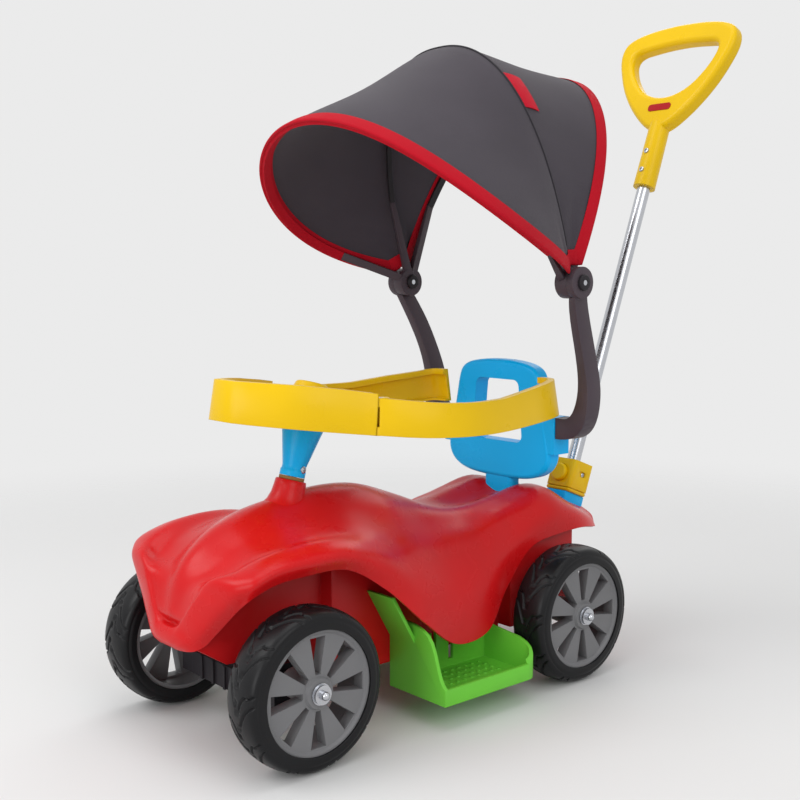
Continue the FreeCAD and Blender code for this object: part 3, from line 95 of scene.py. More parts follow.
def addLamps():
    for lamp in lamps:
        data = bpy.data.lights.new(lamp["name"], "AREA")
        data.shape = "DISK"
        data.size = lamp["size"]
        data.energy = lamp["power"]
        obj = bpy.data.objects.new(lamp["name"], data)
        bpy.context.scene.collection.objects.link(obj)
        obj.location = lamp["place"]
        aimAt(obj, stage["lampTarget"])


def paperRays(tree):
    path = tree.nodes.new("ShaderNodeLightPath")
    seen = tree.nodes.new("ShaderNodeMath")
    seen.operation = "MAXIMUM"
    tree.links.new(path.outputs["Is Camera Ray"], seen.inputs[0])
    tree.links.new(path.outputs["Is Glossy Ray"], seen.inputs[1])
    through = tree.nodes.new("ShaderNodeMath")
    through.operation = "MAXIMUM"
    tree.links.new(seen.outputs[0], through.inputs[0])
    tree.links.new(path.outputs["Is Transmission Ray"], through.inputs[1])
    return through.outputs[0]


def addWorld():
    world = bpy.data.worlds.new("paleRoom")
    bpy.context.scene.world = world
    world.use_nodes = True
    tree = world.node_tree
    tree.nodes.clear()
    output = tree.nodes.new("ShaderNodeOutputWorld")
    mix = tree.nodes.new("ShaderNodeMixShader")
    room = tree.nodes.new("ShaderNodeBackground")
    room.inputs["Color"].default_value = (1, 1, 1, 1)
    room.inputs["Strength"].default_value = stage["ambient"]
    paper = tree.nodes.new("ShaderNodeBackground")
    paper.inputs["Color"].default_value = (*stage["tone"], 1)
    paper.inputs["Strength"].default_value = 1
    tree.links.new(paperRays(tree), mix.inputs[0])
    tree.links.new(room.outputs[0], mix.inputs[1])
    tree.links.new(paper.outputs[0], mix.inputs[2])
    tree.links.new(mix.outputs[0], output.inputs["Surface"])


def addFloor():
    bpy.ops.object.select_all(action="DESELECT")
    bpy.ops.mesh.primitive_plane_add(size=2 * stage["half"], location=(0, 0, 0))
    floor = bpy.context.object
    floor.name = "paleFloor"
    material = bpy.data.materials.new("floorPaper")
    material.use_nodes = True
    tree = material.node_tree
    tree.nodes.clear()
    output = tree.nodes.new("ShaderNodeOutputMaterial")
    mix = tree.nodes.new("ShaderNodeMixShader")
    matt = tree.nodes.new("ShaderNodeBsdfDiffuse")
    matt.inputs["Color"].default_value = (stage["matt"], stage["matt"], stage["matt"], 1)
    clear = tree.nodes.new("ShaderNodeBsdfTransparent")
    coords = tree.nodes.new("ShaderNodeTexCoord")
    length = tree.nodes.new("ShaderNodeVectorMath")
    length.operation = "LENGTH"
    fade = tree.nodes.new("ShaderNodeMapRange")
    fade.interpolation_type = "SMOOTHSTEP"
    fade.inputs["From Min"].default_value = stage["fadeStart"]
    fade.inputs["From Max"].default_value = stage["fadeEnd"]
    tree.links.new(coords.outputs["Object"], length.inputs[0])
    tree.links.new(length.outputs["Value"], fade.inputs["Value"])
    tree.links.new(fade.outputs[0], mix.inputs[0])
    tree.links.new(matt.outputs[0], mix.inputs[1])
    tree.links.new(clear.outputs[0], mix.inputs[2])
    tree.links.new(mix.outputs[0], output.inputs["Surface"])
    floor.data.materials.append(material)


bpy.context.scene.view_settings.view_transform = "Standard"
addCamera()
addLamps()
addWorld()
addFloor()
print("stage set")


# lean of the pole and rake of the column
leanPole = math.radians(20.9)
rakeColumn = math.radians(16)


# finishes
plastics = {
    "bodyRed": {"colour": (198, 18, 22), "rough": 0.27, "shift": 0.08,
                "grain": 700, "relief": 0.05, "scuff": 0.12},
    "underRed": {"colour": (190, 18, 22), "rough": 0.34, "shift": 0.08,
                 "grain": 600, "relief": 0.06, "scuff": 0.12},
    "guardYellow": {"colour": (230, 188, 4), "rough": 0.3, "shift": 0.05,
                    "grain": 700, "relief": 0.05, "scuff": 0.15},
    "trimBlue": {"colour": (3, 178, 246), "rough": 0.3, "shift": 0.06,
                 "grain": 700, "relief": 0.05, "scuff": 0.15},
    "footGreen": {"colour": (108, 198, 60), "rough": 0.38, "shift": 0.06,
                  "grain": 700, "relief": 0.06, "scuff": 0.15},
    "armGrey": {"colour": (72, 62, 69), "rough": 0.44, "shift": 0.08,
                "grain": 500, "relief": 0.10, "scuff": 0.2},
    "bowBlack": {"colour": (36, 33, 37), "rough": 0.5, "shift": 0.10,
                 "grain": 500, "relief": 0.12, "scuff": 0.2},
    "tyreBlack": {"colour": (20, 20, 22), "rough": 0.34, "shift": 0.12,
                  "grain": 420, "relief": 0.08, "scuff": 0.2},
    "rimGrey": {"colour": (116, 116, 118), "rough": 0.42, "shift": 0.06,
                "grain": 520, "relief": 0.08, "scuff": 0.2},
    "bushBrown": {"colour": (140, 105, 60), "rough": 0.5, "shift": 0.10,
                  "grain": 600, "relief": 0.10, "scuff": 0.2},
    "insertRed": {"colour": (170, 18, 24), "rough": 0.3, "shift": 0.08,
                  "grain": 700, "relief": 0.05, "scuff": 0.15},
}
plasticLook = {"gloss": 0.22, "mottle": (7, 3), "edge": 0.0012, "edgeSamples": 4, "corner": (0.8, 0.98),
               "rub": (60, 4), "rubRange": (0.42, 0.62), "pale": 0.6, "paleLift": 102, "haze": (26, 4),
               "smoother": 0.05, "rougher": 0.08, "bump": 0.0006}
steelLook = {"colour": (196, 198, 203), "rough": 0.2, "stretch": (900, 900, 14), "drawn": (1, 3),
             "cloud": (30, 3), "dark": 0.86, "bright": 1.08, "smoother": 0.05, "rougher": 0.12,
             "relief": 0.06, "bump": 0.0002}
fabrics = {
    "canopyCloth": {"colour": (66, 61, 68), "pitch": 0.0011, "rough": 0.85, "sheen": 0.12},
    "tapeRed": {"colour": (178, 8, 30), "pitch": 0.0016, "rough": 0.75, "sheen": 0.0},
    "tabRed": {"colour": (190, 10, 38), "pitch": 0.0009, "rough": 0.65, "sheen": 0.0},
    "seamGrey": {"colour": (46, 43, 48), "pitch": 0.0012, "rough": 0.85, "sheen": 0.1},
}
weaveLook = {"warp": 1.2, "detail": 1.0, "detailScale": 4.0, "patch": (14, 4), "dark": 0.9, "bright": 1.08,
             "thread": 1.25, "smoother": 0.12, "gloss": 0.15, "sheenRough": 0.5, "relief": 0.35, "bump": 0.0004}


def linearTone(colour, gain=1.0):
    tone = []
    for part in colour:
        share = part / 255
        linear = share / 12.92 if share <= 0.04045 else ((share + 0.055) / 1.055) ** 2.4
        tone.append(min(linear * gain, 1.0))
    return (*tone, 1)


def blankMaterial(name):
    material = bpy.data.materials.new(name)
    material.use_nodes = True
    tree = material.node_tree
    tree.nodes.clear()
    output = tree.nodes.new("ShaderNodeOutputMaterial")
    shader = tree.nodes.new("ShaderNodeBsdfPrincipled")
    tree.links.new(shader.outputs[0], output.inputs["Surface"])
    return material, tree, shader


def noiseAt(tree, vector, scale, detail=2.0):
    noise = tree.nodes.new("ShaderNodeTexNoise")
    noise.inputs["Scale"].default_value = scale
    noise.inputs["Detail"].default_value = detail
    tree.links.new(vector, noise.inputs["Vector"])
    return noise.outputs["Fac"]


def mixTones(tree, share, first, second):
    mix = tree.nodes.new("ShaderNodeMix")
    mix.data_type = "RGBA"
    tree.links.new(share, mix.inputs["Factor"])
    for socket, value in ((mix.inputs[6], first), (mix.inputs[7], second)):
        if isinstance(value, tuple):
            socket.default_value = value
        else:
            tree.links.new(value, socket)
    return mix.outputs[2]


def rangeOf(tree, value, low, high, start=0.3, end=0.7):
    remap = tree.nodes.new("ShaderNodeMapRange")
    remap.inputs["From Min"].default_value = start
    remap.inputs["From Max"].default_value = end
    remap.inputs["To Min"].default_value = low
    remap.inputs["To Max"].default_value = high
    tree.links.new(value, remap.inputs["Value"])
    return remap.outputs[0]


def product(tree, first, second):
    times = tree.nodes.new("ShaderNodeMath")
    times.operation = "MULTIPLY"
    tree.links.new(first, times.inputs[0])
    tree.links.new(second, times.inputs[1])
    return times.outputs[0]


def bumped(tree, shader, height, strength, distance):
    bump = tree.nodes.new("ShaderNodeBump")
    bump.inputs["Strength"].default_value = strength
    bump.inputs["Distance"].default_value = distance
    tree.links.new(height, bump.inputs["Height"])
    tree.links.new(bump.outputs[0], shader.inputs["Normal"])
    return bump


# moulded plastic: faint mottling, fine texture, softened edges and rubbed corners
def mouldedPlastic(name, look):
    material, tree, shader = blankMaterial(name)
    colour, rough, shift = look["colour"], look["rough"], look["shift"]
    shader.inputs["Specular IOR Level"].default_value = plasticLook["gloss"]
    coords = tree.nodes.new("ShaderNodeTexCoord").outputs["Object"]
    mottle = rangeOf(tree, noiseAt(tree, coords, *plasticLook["mottle"]), 0, 1)
    tone = mixTones(tree, mottle, linearTone(colour, 1 - shift), linearTone(colour, 1 + shift))
    edge = tree.nodes.new("ShaderNodeBevel")
    edge.samples = plasticLook["edgeSamples"]
    edge.inputs["Radius"].default_value = plasticLook["edge"]
    flat = tree.nodes.new("ShaderNodeNewGeometry")
    turn = tree.nodes.new("ShaderNodeVectorMath")
    turn.operation = "DOT_PRODUCT"
    tree.links.new(edge.outputs[0], turn.inputs[0])
    tree.links.new(flat.outputs["Normal"], turn.inputs[1])
    corner = rangeOf(tree, turn.outputs["Value"], look["scuff"], 0, *plasticLook["corner"])
    patches = rangeOf(tree, noiseAt(tree, coords, *plasticLook["rub"]), 0, 1, *plasticLook["rubRange"])
    pale = [part * plasticLook["pale"] + plasticLook["paleLift"] for part in colour]
    worn = mixTones(tree, product(tree, corner, patches), tone, linearTone(pale))
    tree.links.new(worn, shader.inputs["Base Color"])
    cloudy = noiseAt(tree, coords, *plasticLook["haze"])
    haze = rangeOf(tree, cloudy, rough - plasticLook["smoother"], rough + plasticLook["rougher"])
    tree.links.new(haze, shader.inputs["Roughness"])
    bump = bumped(tree, shader, noiseAt(tree, coords, look["grain"]), look["relief"], plasticLook["bump"])
    tree.links.new(edge.outputs[0], bump.inputs["Normal"])
    return material


# bright steel, drawn along the leaning pole
def brightSteel(name):
    material, tree, shader = blankMaterial(name)
    colour, rough = steelLook["colour"], steelLook["rough"]
    coords = tree.nodes.new("ShaderNodeTexCoord").outputs["Object"]
    turned = tree.nodes.new("ShaderNodeMapping")
    turned.inputs["Rotation"].default_value = (leanPole, 0, 0)
    turned.inputs["Scale"].default_value = steelLook["stretch"]
    tree.links.new(coords, turned.inputs["Vector"])
    drawn = noiseAt(tree, turned.outputs[0], *steelLook["drawn"])
    cloud = noiseAt(tree, coords, *steelLook["cloud"])
    tone = mixTones(tree, cloud, linearTone(colour, steelLook["dark"]), linearTone(colour, steelLook["bright"]))
    tree.links.new(tone, shader.inputs["Base Color"])
    shader.inputs["Metallic"].default_value = 1
    haze = rangeOf(tree, drawn, rough - steelLook["smoother"], rough + steelLook["rougher"])
    tree.links.new(haze, shader.inputs["Roughness"])
    bumped(tree, shader, drawn, steelLook["relief"], steelLook["bump"])
    return material


# woven cloth on the sheet's own UV map, which is in metres
def wovenCloth(name, look):
    material, tree, shader = blankMaterial(name)
    colour, rough = look["colour"], look["rough"]
    spot = tree.nodes.new("ShaderNodeTexCoord").outputs["UV"]
    threads = []
    for direction in ("X", "Y"):
        wave = tree.nodes.new("ShaderNodeTexWave")
        wave.bands_direction = direction
        wave.inputs["Scale"].default_value = 0.5 / look["pitch"]
        wave.inputs["Distortion"].default_value = weaveLook["warp"]
        wave.inputs["Detail"].default_value = weaveLook["detail"]
        wave.inputs["Detail Scale"].default_value = weaveLook["detailScale"]
        tree.links.new(spot, wave.inputs["Vector"])
        threads.append(wave.outputs["Fac"])
    weave = product(tree, *threads)
    patch = rangeOf(tree, noiseAt(tree, spot, *weaveLook["patch"]), 0, 1)
    tone = mixTones(tree, patch, linearTone(colour, weaveLook["dark"]), linearTone(colour, weaveLook["bright"]))
    shaded = mixTones(tree, weave, tone, linearTone(colour, weaveLook["thread"]))
    tree.links.new(shaded, shader.inputs["Base Color"])
    haze = rangeOf(tree, weave, rough, rough - weaveLook["smoother"], 0, 1)
    tree.links.new(haze, shader.inputs["Roughness"])
    shader.inputs["Specular IOR Level"].default_value = weaveLook["gloss"]
    shader.inputs["Sheen Weight"].default_value = look["sheen"]
    shader.inputs["Sheen Roughness"].default_value = weaveLook["sheenRough"]
    bumped(tree, shader, weave, weaveLook["relief"], weaveLook["bump"])
    return material


finishes = {name: mouldedPlastic(name, look) for name, look in plastics.items()}
finishes["steel"] = brightSteel("steel")
finishes.update({name: wovenCloth(name, look) for name, look in fabrics.items()})
slotFinish = {
    "body_red": "bodyRed", "under_red": "underRed", "guard_yellow": "guardYellow", "trim_blue": "trimBlue",
    "foot_green": "footGreen", "arm_grey": "armGrey", "bow_black": "bowBlack", "cloth": "canopyCloth",
    "tyre_black": "tyreBlack", "rim_grey": "rimGrey", "steel": "steel", "bush_brown": "bushBrown",
    "insert_red": "insertRed"}
for row in frame["record"]["subparts"]:
    node = frame["nodes"][row["node"]]
    node.data.materials.clear()
    node.data.materials.append(finishes[slotFinish[row["material_slot"]]])
print("finishes made:", len(finishes))


# helpers for pieces
weld = {"solid": 0.00001, "spun": 0.00002}


def finishPiece(obj, name, finish, body, slot, *nodes):
    obj.name = name
    obj.data.name = name
    obj.data.materials.clear()
    obj.data.materials.append(finishes[finish])
    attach(obj, body)
    if nodes:
        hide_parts(*nodes)
    return obj


def linked(name, mesh):
    obj = bpy.data.objects.new(name, mesh)
    bpy.context.scene.collection.objects.link(obj)
    return obj


def meshPiece(name, points, faces):
    mesh = bpy.data.meshes.new(name)
    mesh.from_pydata(points, [], faces)
    mesh.update()
    return linked(name, mesh)


def onlySelect(obj):
    bpy.ops.object.select_all(action="DESELECT")
    obj.select_set(True)
    bpy.context.view_layer.objects.active = obj


def inEdit(obj):
    onlySelect(obj)
    bpy.ops.object.mode_set(mode="EDIT")


def smoothed(obj, degrees):
    onlySelect(obj)
    bpy.ops.object.shade_smooth_by_angle(angle=math.radians(degrees))


def thicken(obj, thick, offset):
    onlySelect(obj)
    wall = obj.modifiers.new("wall", "SOLIDIFY")
    wall.thickness = thick
    wall.offset = offset
    bpy.ops.object.modifier_apply(modifier="wall")


def facesOutward(obj, inside):
    face = obj.data.polygons[len(obj.data.polygons) // 2]
    if face.normal.dot(face.center - inside) < 0:
        obj.data.flip_normals()


def recalculated(obj):
    inEdit(obj)
    bpy.ops.mesh.select_all(action="SELECT")
    bpy.ops.mesh.normals_make_consistent(inside=False)
    bpy.ops.object.mode_set(mode="OBJECT")


# a closed outline in the plane y = 0, spun round an axis through the origin
def spun(name, points, steps, axis):
    count = len(points)
    mesh = bpy.data.meshes.new(name)
    mesh.from_pydata(points, [(index, (index + 1) % count) for index in range(count)], [])
    obj = linked(name, mesh)
    inEdit(obj)
    bpy.ops.mesh.select_all(action="SELECT")
    bpy.ops.mesh.spin(steps=steps, angle=2 * math.pi, center=(0, 0, 0), axis=axis)
    bpy.ops.mesh.select_all(action="SELECT")
    bpy.ops.mesh.remove_doubles(threshold=weld["spun"])
    bpy.ops.mesh.normals_make_consistent(inside=False)
    bpy.ops.object.mode_set(mode="OBJECT")
    return obj


# a copy of a node's mesh with its points merged, left in edit mode with everything selected
def mergedCopy(node, name):
    obj = linked(name, frame["nodes"][node].data.copy())
    onlySelect(obj)
    if obj.data.has_custom_normals:
        bpy.ops.mesh.customdata_custom_splitnormals_clear()
    inEdit(obj)
    bpy.ops.mesh.select_all(action="SELECT")
    bpy.ops.mesh.remove_doubles(threshold=weld["solid"])
    return obj


def joined(copies):
    bpy.ops.object.select_all(action="DESELECT")
    for copy in copies:
        copy.select_set(True)
    bpy.context.view_layer.objects.active = copies[0]
    if len(copies) > 1:
        bpy.ops.object.join()
    return copies[0]


# places on the leaning pole and the raked column
poleFoot = Vector((0, 0.381 + middleY, 0.258))
poleTurn = Matrix.Rotation(-leanPole, 3, "X")
columnFoot = Vector((0, -0.135 + middleY, 0.294))
columnTurn = Matrix.Rotation(-rakeColumn, 3, "X")


def onPole(x, y, z):
    return poleFoot + poleTurn @ Vector((x, y, z))


def onColumn(x, y, z):
    return columnFoot + columnTurn @ Vector((x, y, z))


# canopy: cloth over three arches, taped along its rim, with a seam and a tab on the middle arch
arches = {
    "front": {"half": 0.210, "height": 0.333, "end": 126, "lean": 148, "power": 2,
              "y": 0.167, "z": 0.539, "bow": 0.03},
    "middle": {"half": 0.160, "height": 0.286, "end": 90, "lean": 105.5, "power": 2.4,
               "y": 0.179, "z": 0.550, "bow": 0},
    "rear": {"half": 0.164, "height": 0.281, "end": 90, "lean": 65.5, "power": 2.44,
             "y": 0.196, "z": 0.549, "bow": 0},
}
cloth = {"across": 120, "rows": 16, "sag": 0.0035, "thick": 0.0012, "inset": 0.0004, "probe": 0.004,
         "smooth": 50}
folds = {"pull": 0.3, "rise": 0.06, "size": 0.0018, "place": 0.93, "spread": 0.08, "along": 9, "across": 30,
         "waver": 0.35, "waverAcross": 11, "waverAlong": 2, "span": 0.16}
tape = {"width": 0.0165, "lift": 0.0012, "drop": 0.0024, "round": 0.0026, "folds": 6, "rows": 3, "hemSteps": 8,
        "edgeLift": 0.55, "edgeDrop": 0.85, "inner": (0.9, 0.8), "uvStep": (0.0045, 0.003), "thick": 0.0005,
        "smooth": 60}
seamLook = {"radius": 0.0011, "sides": 8, "span": 0.97, "lift": 0.0004, "wide": 1.6, "smooth": 60}
tabLook = {"start": 0.395, "end": 0.56, "near": 1.006, "far": 1.17, "rows": 5, "columns": 13, "lift": 0.0016,
           "crown": 0.0008, "thick": 0.0012, "smooth": 40}
sleeveLook = {"swell": 0.0006, "smooth": 40}
hubPoint = Vector((0, 0.187 + middleY, 0.525))


def signedPower(value, power):
    return math.copysign(abs(value) ** power, value)


def archPoint(name, share):
    arch = arches[name]
    end = math.radians(arch["end"])
    lean = math.radians(arch["lean"])
    power = 2 / arch["power"]
    angle = share * end
    side = signedPower(math.sin(angle), power)
    low = signedPower(math.cos(end), power)
    climb = (signedPower(math.cos(angle), power) - low) / (1 - low)
    along = arch["height"] * climb
    bulge = arch["bow"] * 4 * climb * (1 - climb)
    return Vector((arch["half"] * side,
                   arch["y"] + middleY + along * math.cos(lean) - bulge * math.sin(lean),
                   arch["z"] + along * math.sin(lean) + bulge * math.cos(lean)))


# share runs from -1 to 1 across the car, place from 0 at the front arch to 2 at the rear arch
def clothPoint(share, place):
    first, second = ("front", "middle") if place <= 1 else ("middle", "rear")
    step = place if place <= 1 else place - 1
    start = archPoint(first, share)
    end = archPoint(second, share)
    spot = start.lerp(end, step)
    inward = (hubPoint + Vector((spot.x * folds["pull"], 0, folds["rise"])) - spot).normalized()
    hem = math.exp(-((abs(share) - folds["place"]) / folds["spread"]) ** 2)
    crease = folds["size"] * hem * math.sin(place * folds["along"] + share * folds["across"])
    waver = 1 + folds["waver"] * math.sin(share * folds["waverAcross"] + place * folds["waverAlong"])
    sag = cloth["sag"] * waver * (end - start).length / folds["span"]
    return spot + inward * (cloth["inset"] + math.sin(math.pi * step) ** 2 * (sag + crease))


def clothFrame(share, place):
    step = cloth["probe"]
    spot = clothPoint(share, place)
    across = clothPoint(min(share + step, 1), place) - clothPoint(max(share - step, -1), place)
    along = clothPoint(share, min(place + step * 4, 2)) - clothPoint(share, max(place - step * 4, 0))
    normal = across.cross(along).normalized()
    if normal.dot(spot - hubPoint) < 0:
        normal = -normal
    return spot, along.normalized(), normal


def gridFaces(rows, columns):
    faces = []
    for row in range(rows - 1):
        for column in range(columns - 1):
            first = row * columns + column
            after = first + columns
            faces.append((first, first + 1, after + 1, after))
    return faces


def gridUvs(obj, rows, columns):
    points = [vertex.co for vertex in obj.data.vertices]
    grid = [points[row * columns:(row + 1) * columns] for row in range(rows)]
    across = [[0.0] * columns for row in range(rows)]
    along = [[0.0] * columns for row in range(rows)]
    middle = columns // 2
    for row, spots in enumerate(grid):
        for column in range(middle + 1, columns):
            across[row][column] = across[row][column - 1] + (spots[column] - spots[column - 1]).length
        for column in range(middle - 1, -1, -1):
            across[row][column] = across[row][column + 1] - (spots[column] - spots[column + 1]).length
        if row:
            for column in range(columns):
                run = (spots[column] - grid[row - 1][column]).length
                along[row][column] = along[row - 1][column] + run
    layer = obj.data.uv_layers.new(name="cloth")
    for loop in obj.data.loops:
        row, column = divmod(loop.vertex_index, columns)
        layer.data[loop.index].uv = (across[row][column], along[row][column])


def makeCloth():
    columns = cloth["across"] + 1
    rows = 2 * cloth["rows"] + 1
    shares = [2 * column / cloth["across"] - 1 for column in range(columns)]
    points = [clothPoint(share, row / cloth["rows"]) for row in range(rows) for share in shares]
    obj = meshPiece("canopy_cloth", points, gridFaces(rows, columns))
    gridUvs(obj, rows, columns)
    facesOutward(obj, hubPoint)
    area = sum(face.area for face in obj.data.polygons)
    thicken(obj, cloth["thick"], -1)
    smoothed(obj, cloth["smooth"])
    finishPiece(obj, "canopy_cloth", "canopyCloth", "canopy", "cloth", "canopy_fabric")
    return obj, area


def rimSpots():
    count = cloth["across"]
    steps = tape["hemSteps"]
    shares = [2 * column / count - 1 for column in range(count + 1)]
    spots = [(share, 0.0) for share in shares]
    spots += [(1.0, 2 * step / steps) for step in range(1, steps)]
    spots += [(share, 2.0) for share in reversed(shares)]
    spots += [(-1.0, 2 - 2 * step / steps) for step in range(1, steps)]
    return spots


def tapeSection(spot, inner, normal):
    lift, drop, rows = tape["lift"], tape["drop"], tape["rows"]
    section = []
    for fold in range(rows):
        rise = lift * (tape["edgeLift"] if fold == 0 else 1)
        section.append(spot + inner * tape["width"] * (1 - fold / rows) + normal * rise)
    for fold in range(tape["folds"] + 1):
        angle = math.pi * fold / tape["folds"]
        rise = (lift - drop) / 2 + math.cos(angle) * (lift + drop) / 2
        section.append(spot - inner * math.sin(angle) * tape["round"] + normal * rise)
    for fold in range(1, rows + 1):
        fall = drop * (tape["edgeDrop"] if fold == rows else 1)
        section.append(spot + inner * tape["width"] * fold / rows - normal * fall)
    return section


def makeTape():
    spots = rimSpots()
    count = len(spots)
    placed = [clothPoint(share, place) for share, place in spots]
    innerShare, innerPlace = tape["inner"]
    rings = []
    for index, (share, place) in enumerate(spots):
        spot, along, normal = clothFrame(share, place)
        run = (placed[(index + 1) % count] - placed[index - 1]).normalized()
        inner = run.cross(normal).normalized()
        target = clothPoint(share * innerShare, 1 + (place - 1) * innerPlace)
        if inner.dot(target - spot) < 0:
            inner = -inner
        rings.append(tapeSection(spot, inner, normal))
    columns = len(rings[0])
    points = [spot for section in rings for spot in section]
    last = (count - 1) * columns
    faces = gridFaces(count, columns)
    faces += [(last + column, last + column + 1, column + 1, column) for column in range(columns - 1)]
    obj = meshPiece("canopy_tape", points, faces)
    layer = obj.data.uv_layers.new(name="cloth")
    for loop in obj.data.loops:
        row, column = divmod(loop.vertex_index, columns)
        layer.data[loop.index].uv = (row * tape["uvStep"][0], column * tape["uvStep"][1])
    recalculated(obj)
    thicken(obj, tape["thick"], 1)
    smoothed(obj, tape["smooth"])
    return finishPiece(obj, "canopy_tape", "tapeRed", "canopy", "cloth")


def makeSeam():
    count, sides, radius = cloth["across"], seamLook["sides"], seamLook["radius"]
    points = []
    for column in range(count + 1):
        share = (2 * column / count - 1) * seamLook["span"]
        spot, along, normal = clothFrame(share, 1)
        for side in range(sides):
            angle = 2 * math.pi * side / sides
            rise = normal * (seamLook["lift"] + math.sin(angle) * radius)
            points.append(spot + rise + along * math.cos(angle) * radius * seamLook["wide"])
    faces = []
    for column in range(count):
        low, high = column * sides, (column + 1) * sides
        for side in range(sides):
            after = (side + 1) % sides
            faces.append((low + side, low + after, high + after, high + side))
    faces.append(tuple(range(sides)))
    faces.append(tuple(reversed(range(count * sides, (count + 1) * sides))))
    obj = meshPiece("canopy_seam", points, faces)
    recalculated(obj)
    obj.data.uv_layers.new(name="cloth")
    smoothed(obj, seamLook["smooth"])
    return finishPiece(obj, "canopy_seam", "seamGrey", "canopy", "cloth")


def makeTab():
    rows, columns = tabLook["rows"], tabLook["columns"]
    points = []
    for row in range(rows):
        for column in range(columns):
            share = tabLook["start"] + (tabLook["end"] - tabLook["start"]) * column / (columns - 1)
            place = tabLook["near"] + (tabLook["far"] - tabLook["near"]) * row / (rows - 1)
            spot, along, normal = clothFrame(share, place)
            rise = tabLook["lift"] + tabLook["crown"] * math.sin(math.pi * row / (rows - 1))
            points.append(spot + normal * rise)
    obj = meshPiece("canopy_tab", points, gridFaces(rows, columns))
    gridUvs(obj, rows, columns)
    facesOutward(obj, hubPoint)
    thicken(obj, tabLook["thick"], -1)
    smoothed(obj, tabLook["smooth"])
    return finishPiece(obj, "canopy_tab", "tabRed", "canopy", "cloth")


# binding pulled over the front bow, so the rim is red from inside too
def makeSleeve():
    obj = mergedCopy("canopy_bow_front", "canopy_sleeve")
    bpy.ops.transform.shrink_fatten(value=sleeveLook["swell"])
    bpy.ops.object.mode_set(mode="OBJECT")
    if not obj.data.uv_layers:
        obj.data.uv_layers.new(name="cloth")
    smoothed(obj, sleeveLook["smooth"])
    return finishPiece(obj, "canopy_sleeve", "tapeRed", "canopy", "cloth")


clothPiece, clothArea = makeCloth()
trims = [makeTape(), makeSeam(), makeTab(), makeSleeve()]
print("canopy cloth area", round(clothArea, 4))


# body skin: rows from lip to tail, each from the middle line out to the skirt edge, in millimetres
millimetre = 0.001
skin = {"across": 108, "along": 210, "dense": 12, "wall": 0.0034, "relax": 4, "relaxFactor": 0.5,
        "bore": 0.0135, "valley": 6.5, "valleyStart": 0.25, "valleyRun": 0.35, "coreHeight": 0.1,
        "smooth": 60}
lipRows = [
    [(0, -307, 122), (4, -307, 122), (8, -307, 122),
     (11, -307, 122), (13, -307, 122), (15, -307, 121.5)],
    [(0, -311.5, 128), (7, -311.5, 128), (13, -311.2, 128),
     (18, -310.6, 128), (24, -309.2, 126), (27, -305.5, 122)],
    [(0, -312, 137), (9, -312, 137), (17, -311.7, 137.5),
     (25, -311, 138.5), (36, -308.5, 131.5), (39, -304, 123.5)],
    [(0, -309, 144.5), (10, -308.8, 144.8), (18, -308.6, 146),
     (27, -308.4, 149), (46, -305.5, 138), (49, -300.5, 126)],
    [(0, -299.5, 146.5), (10, -300.5, 147), (20, -304, 151),
     (32, -306.6, 158.5), (57, -302.5, 147), (56, -294, 131)],
    [(0, -304.6, 156), (12, -304.3, 155.5), (26, -304.2, 158),
     (44, -304.8, 171.5), (71, -298.5, 160), (67, -289, 143)],
    [(0, -301.8, 173), (17, -301.2, 170.5), (38, -301, 176),
     (62, -300.6, 193), (95, -293.5, 184), (89, -283.5, 165)],
    [(0, -294, 198), (22, -293.5, 192), (48, -294, 197),
     (84, -293.5, 213), (116, -287.5, 203), (107, -280, 182)],
]
bodyRows = [
    (-0.888, 0.792, (0.290, 0.735), (0.706, 0.788), (0.940, 0.754), (0.862, 0.683)),
    (-0.801, 0.866, (0.350, 0.800), (0.766, 0.829), (0.975, 0.790), (0.890, 0.725)),
    (-0.657, 0.932, (0.438, 0.857), (0.818, 0.857), (0.990, 0.803), (0.900, 0.741)),
    (-0.481, 0.971, (0.453, 0.879), (0.818, 0.854), (0.990, 0.796), (0.905, 0.734)),
    (-0.304, 0.993, (0.453, 0.900), (0.788, 0.814), (0.972, 0.721), (0.955, 0.614)),
    (-0.128, 0.982, (0.409, 0.914), (0.715, 0.779), (0.934, 0.614), (0.978, 0.443)),
    (0.064, 0.907, (0.350, 0.857), (0.657, 0.729), (0.876, 0.536), (0.920, 0.293)),
    (0.219, 0.825, (0.321, 0.821), (0.613, 0.743), (0.832, 0.557), (0.861, 0.307)),
    (0.334, 0.800, (0.307, 0.825), (0.569, 0.793), (0.759, 0.643), (0.770, 0.464)),
    (0.476, 0.814, (0.292, 0.857), (0.526, 0.843), (0.715, 0.743), (0.745, 0.636)),
    (0.604, 0.836, (0.263, 0.882), (0.467, 0.882), (0.701, 0.793), (0.745, 0.664)),
    (0.746, 0.814, (0.234, 0.832), (0.453, 0.793), (0.672, 0.736), (0.730, 0.671)),
    (0.861, 0.757, (0.204, 0.750), (0.409, 0.714), (0.569, 0.679), (0.613, 0.643)),
    (0.975, 0.702, (0.102, 0.697), (0.214, 0.676), (0.290, 0.652), (0.319, 0.618)),
]
bodySpan = {"nose": 312, "tail": 385, "half": 137, "height": 280}
tailShares = [(0.93, 381.5), (0.78, 384.6), (0.45, 385.2), (0.02, 385.4)]


def bodyRow(along, crown, *right):
    y = along * (bodySpan["nose"] if along < 0 else bodySpan["tail"])
    row = [(0, y, crown * bodySpan["height"])]
    row += [(out * bodySpan["half"], y, up * bodySpan["height"]) for out, up in right]
    x, y, z = ((first + second) / 2 for first, second in zip(row[1], row[2]))
    sag = skin["valley"] * max(0, min(1, (-along - skin["valleyStart"]) / skin["valleyRun"]))
    row.insert(2, (x, y, z - sag))
    return row


def tailRow(row, share, y):
    edge = row[-1][2]
    return [(x * share, y, edge + (z - edge) * share) for x, before, z in row]


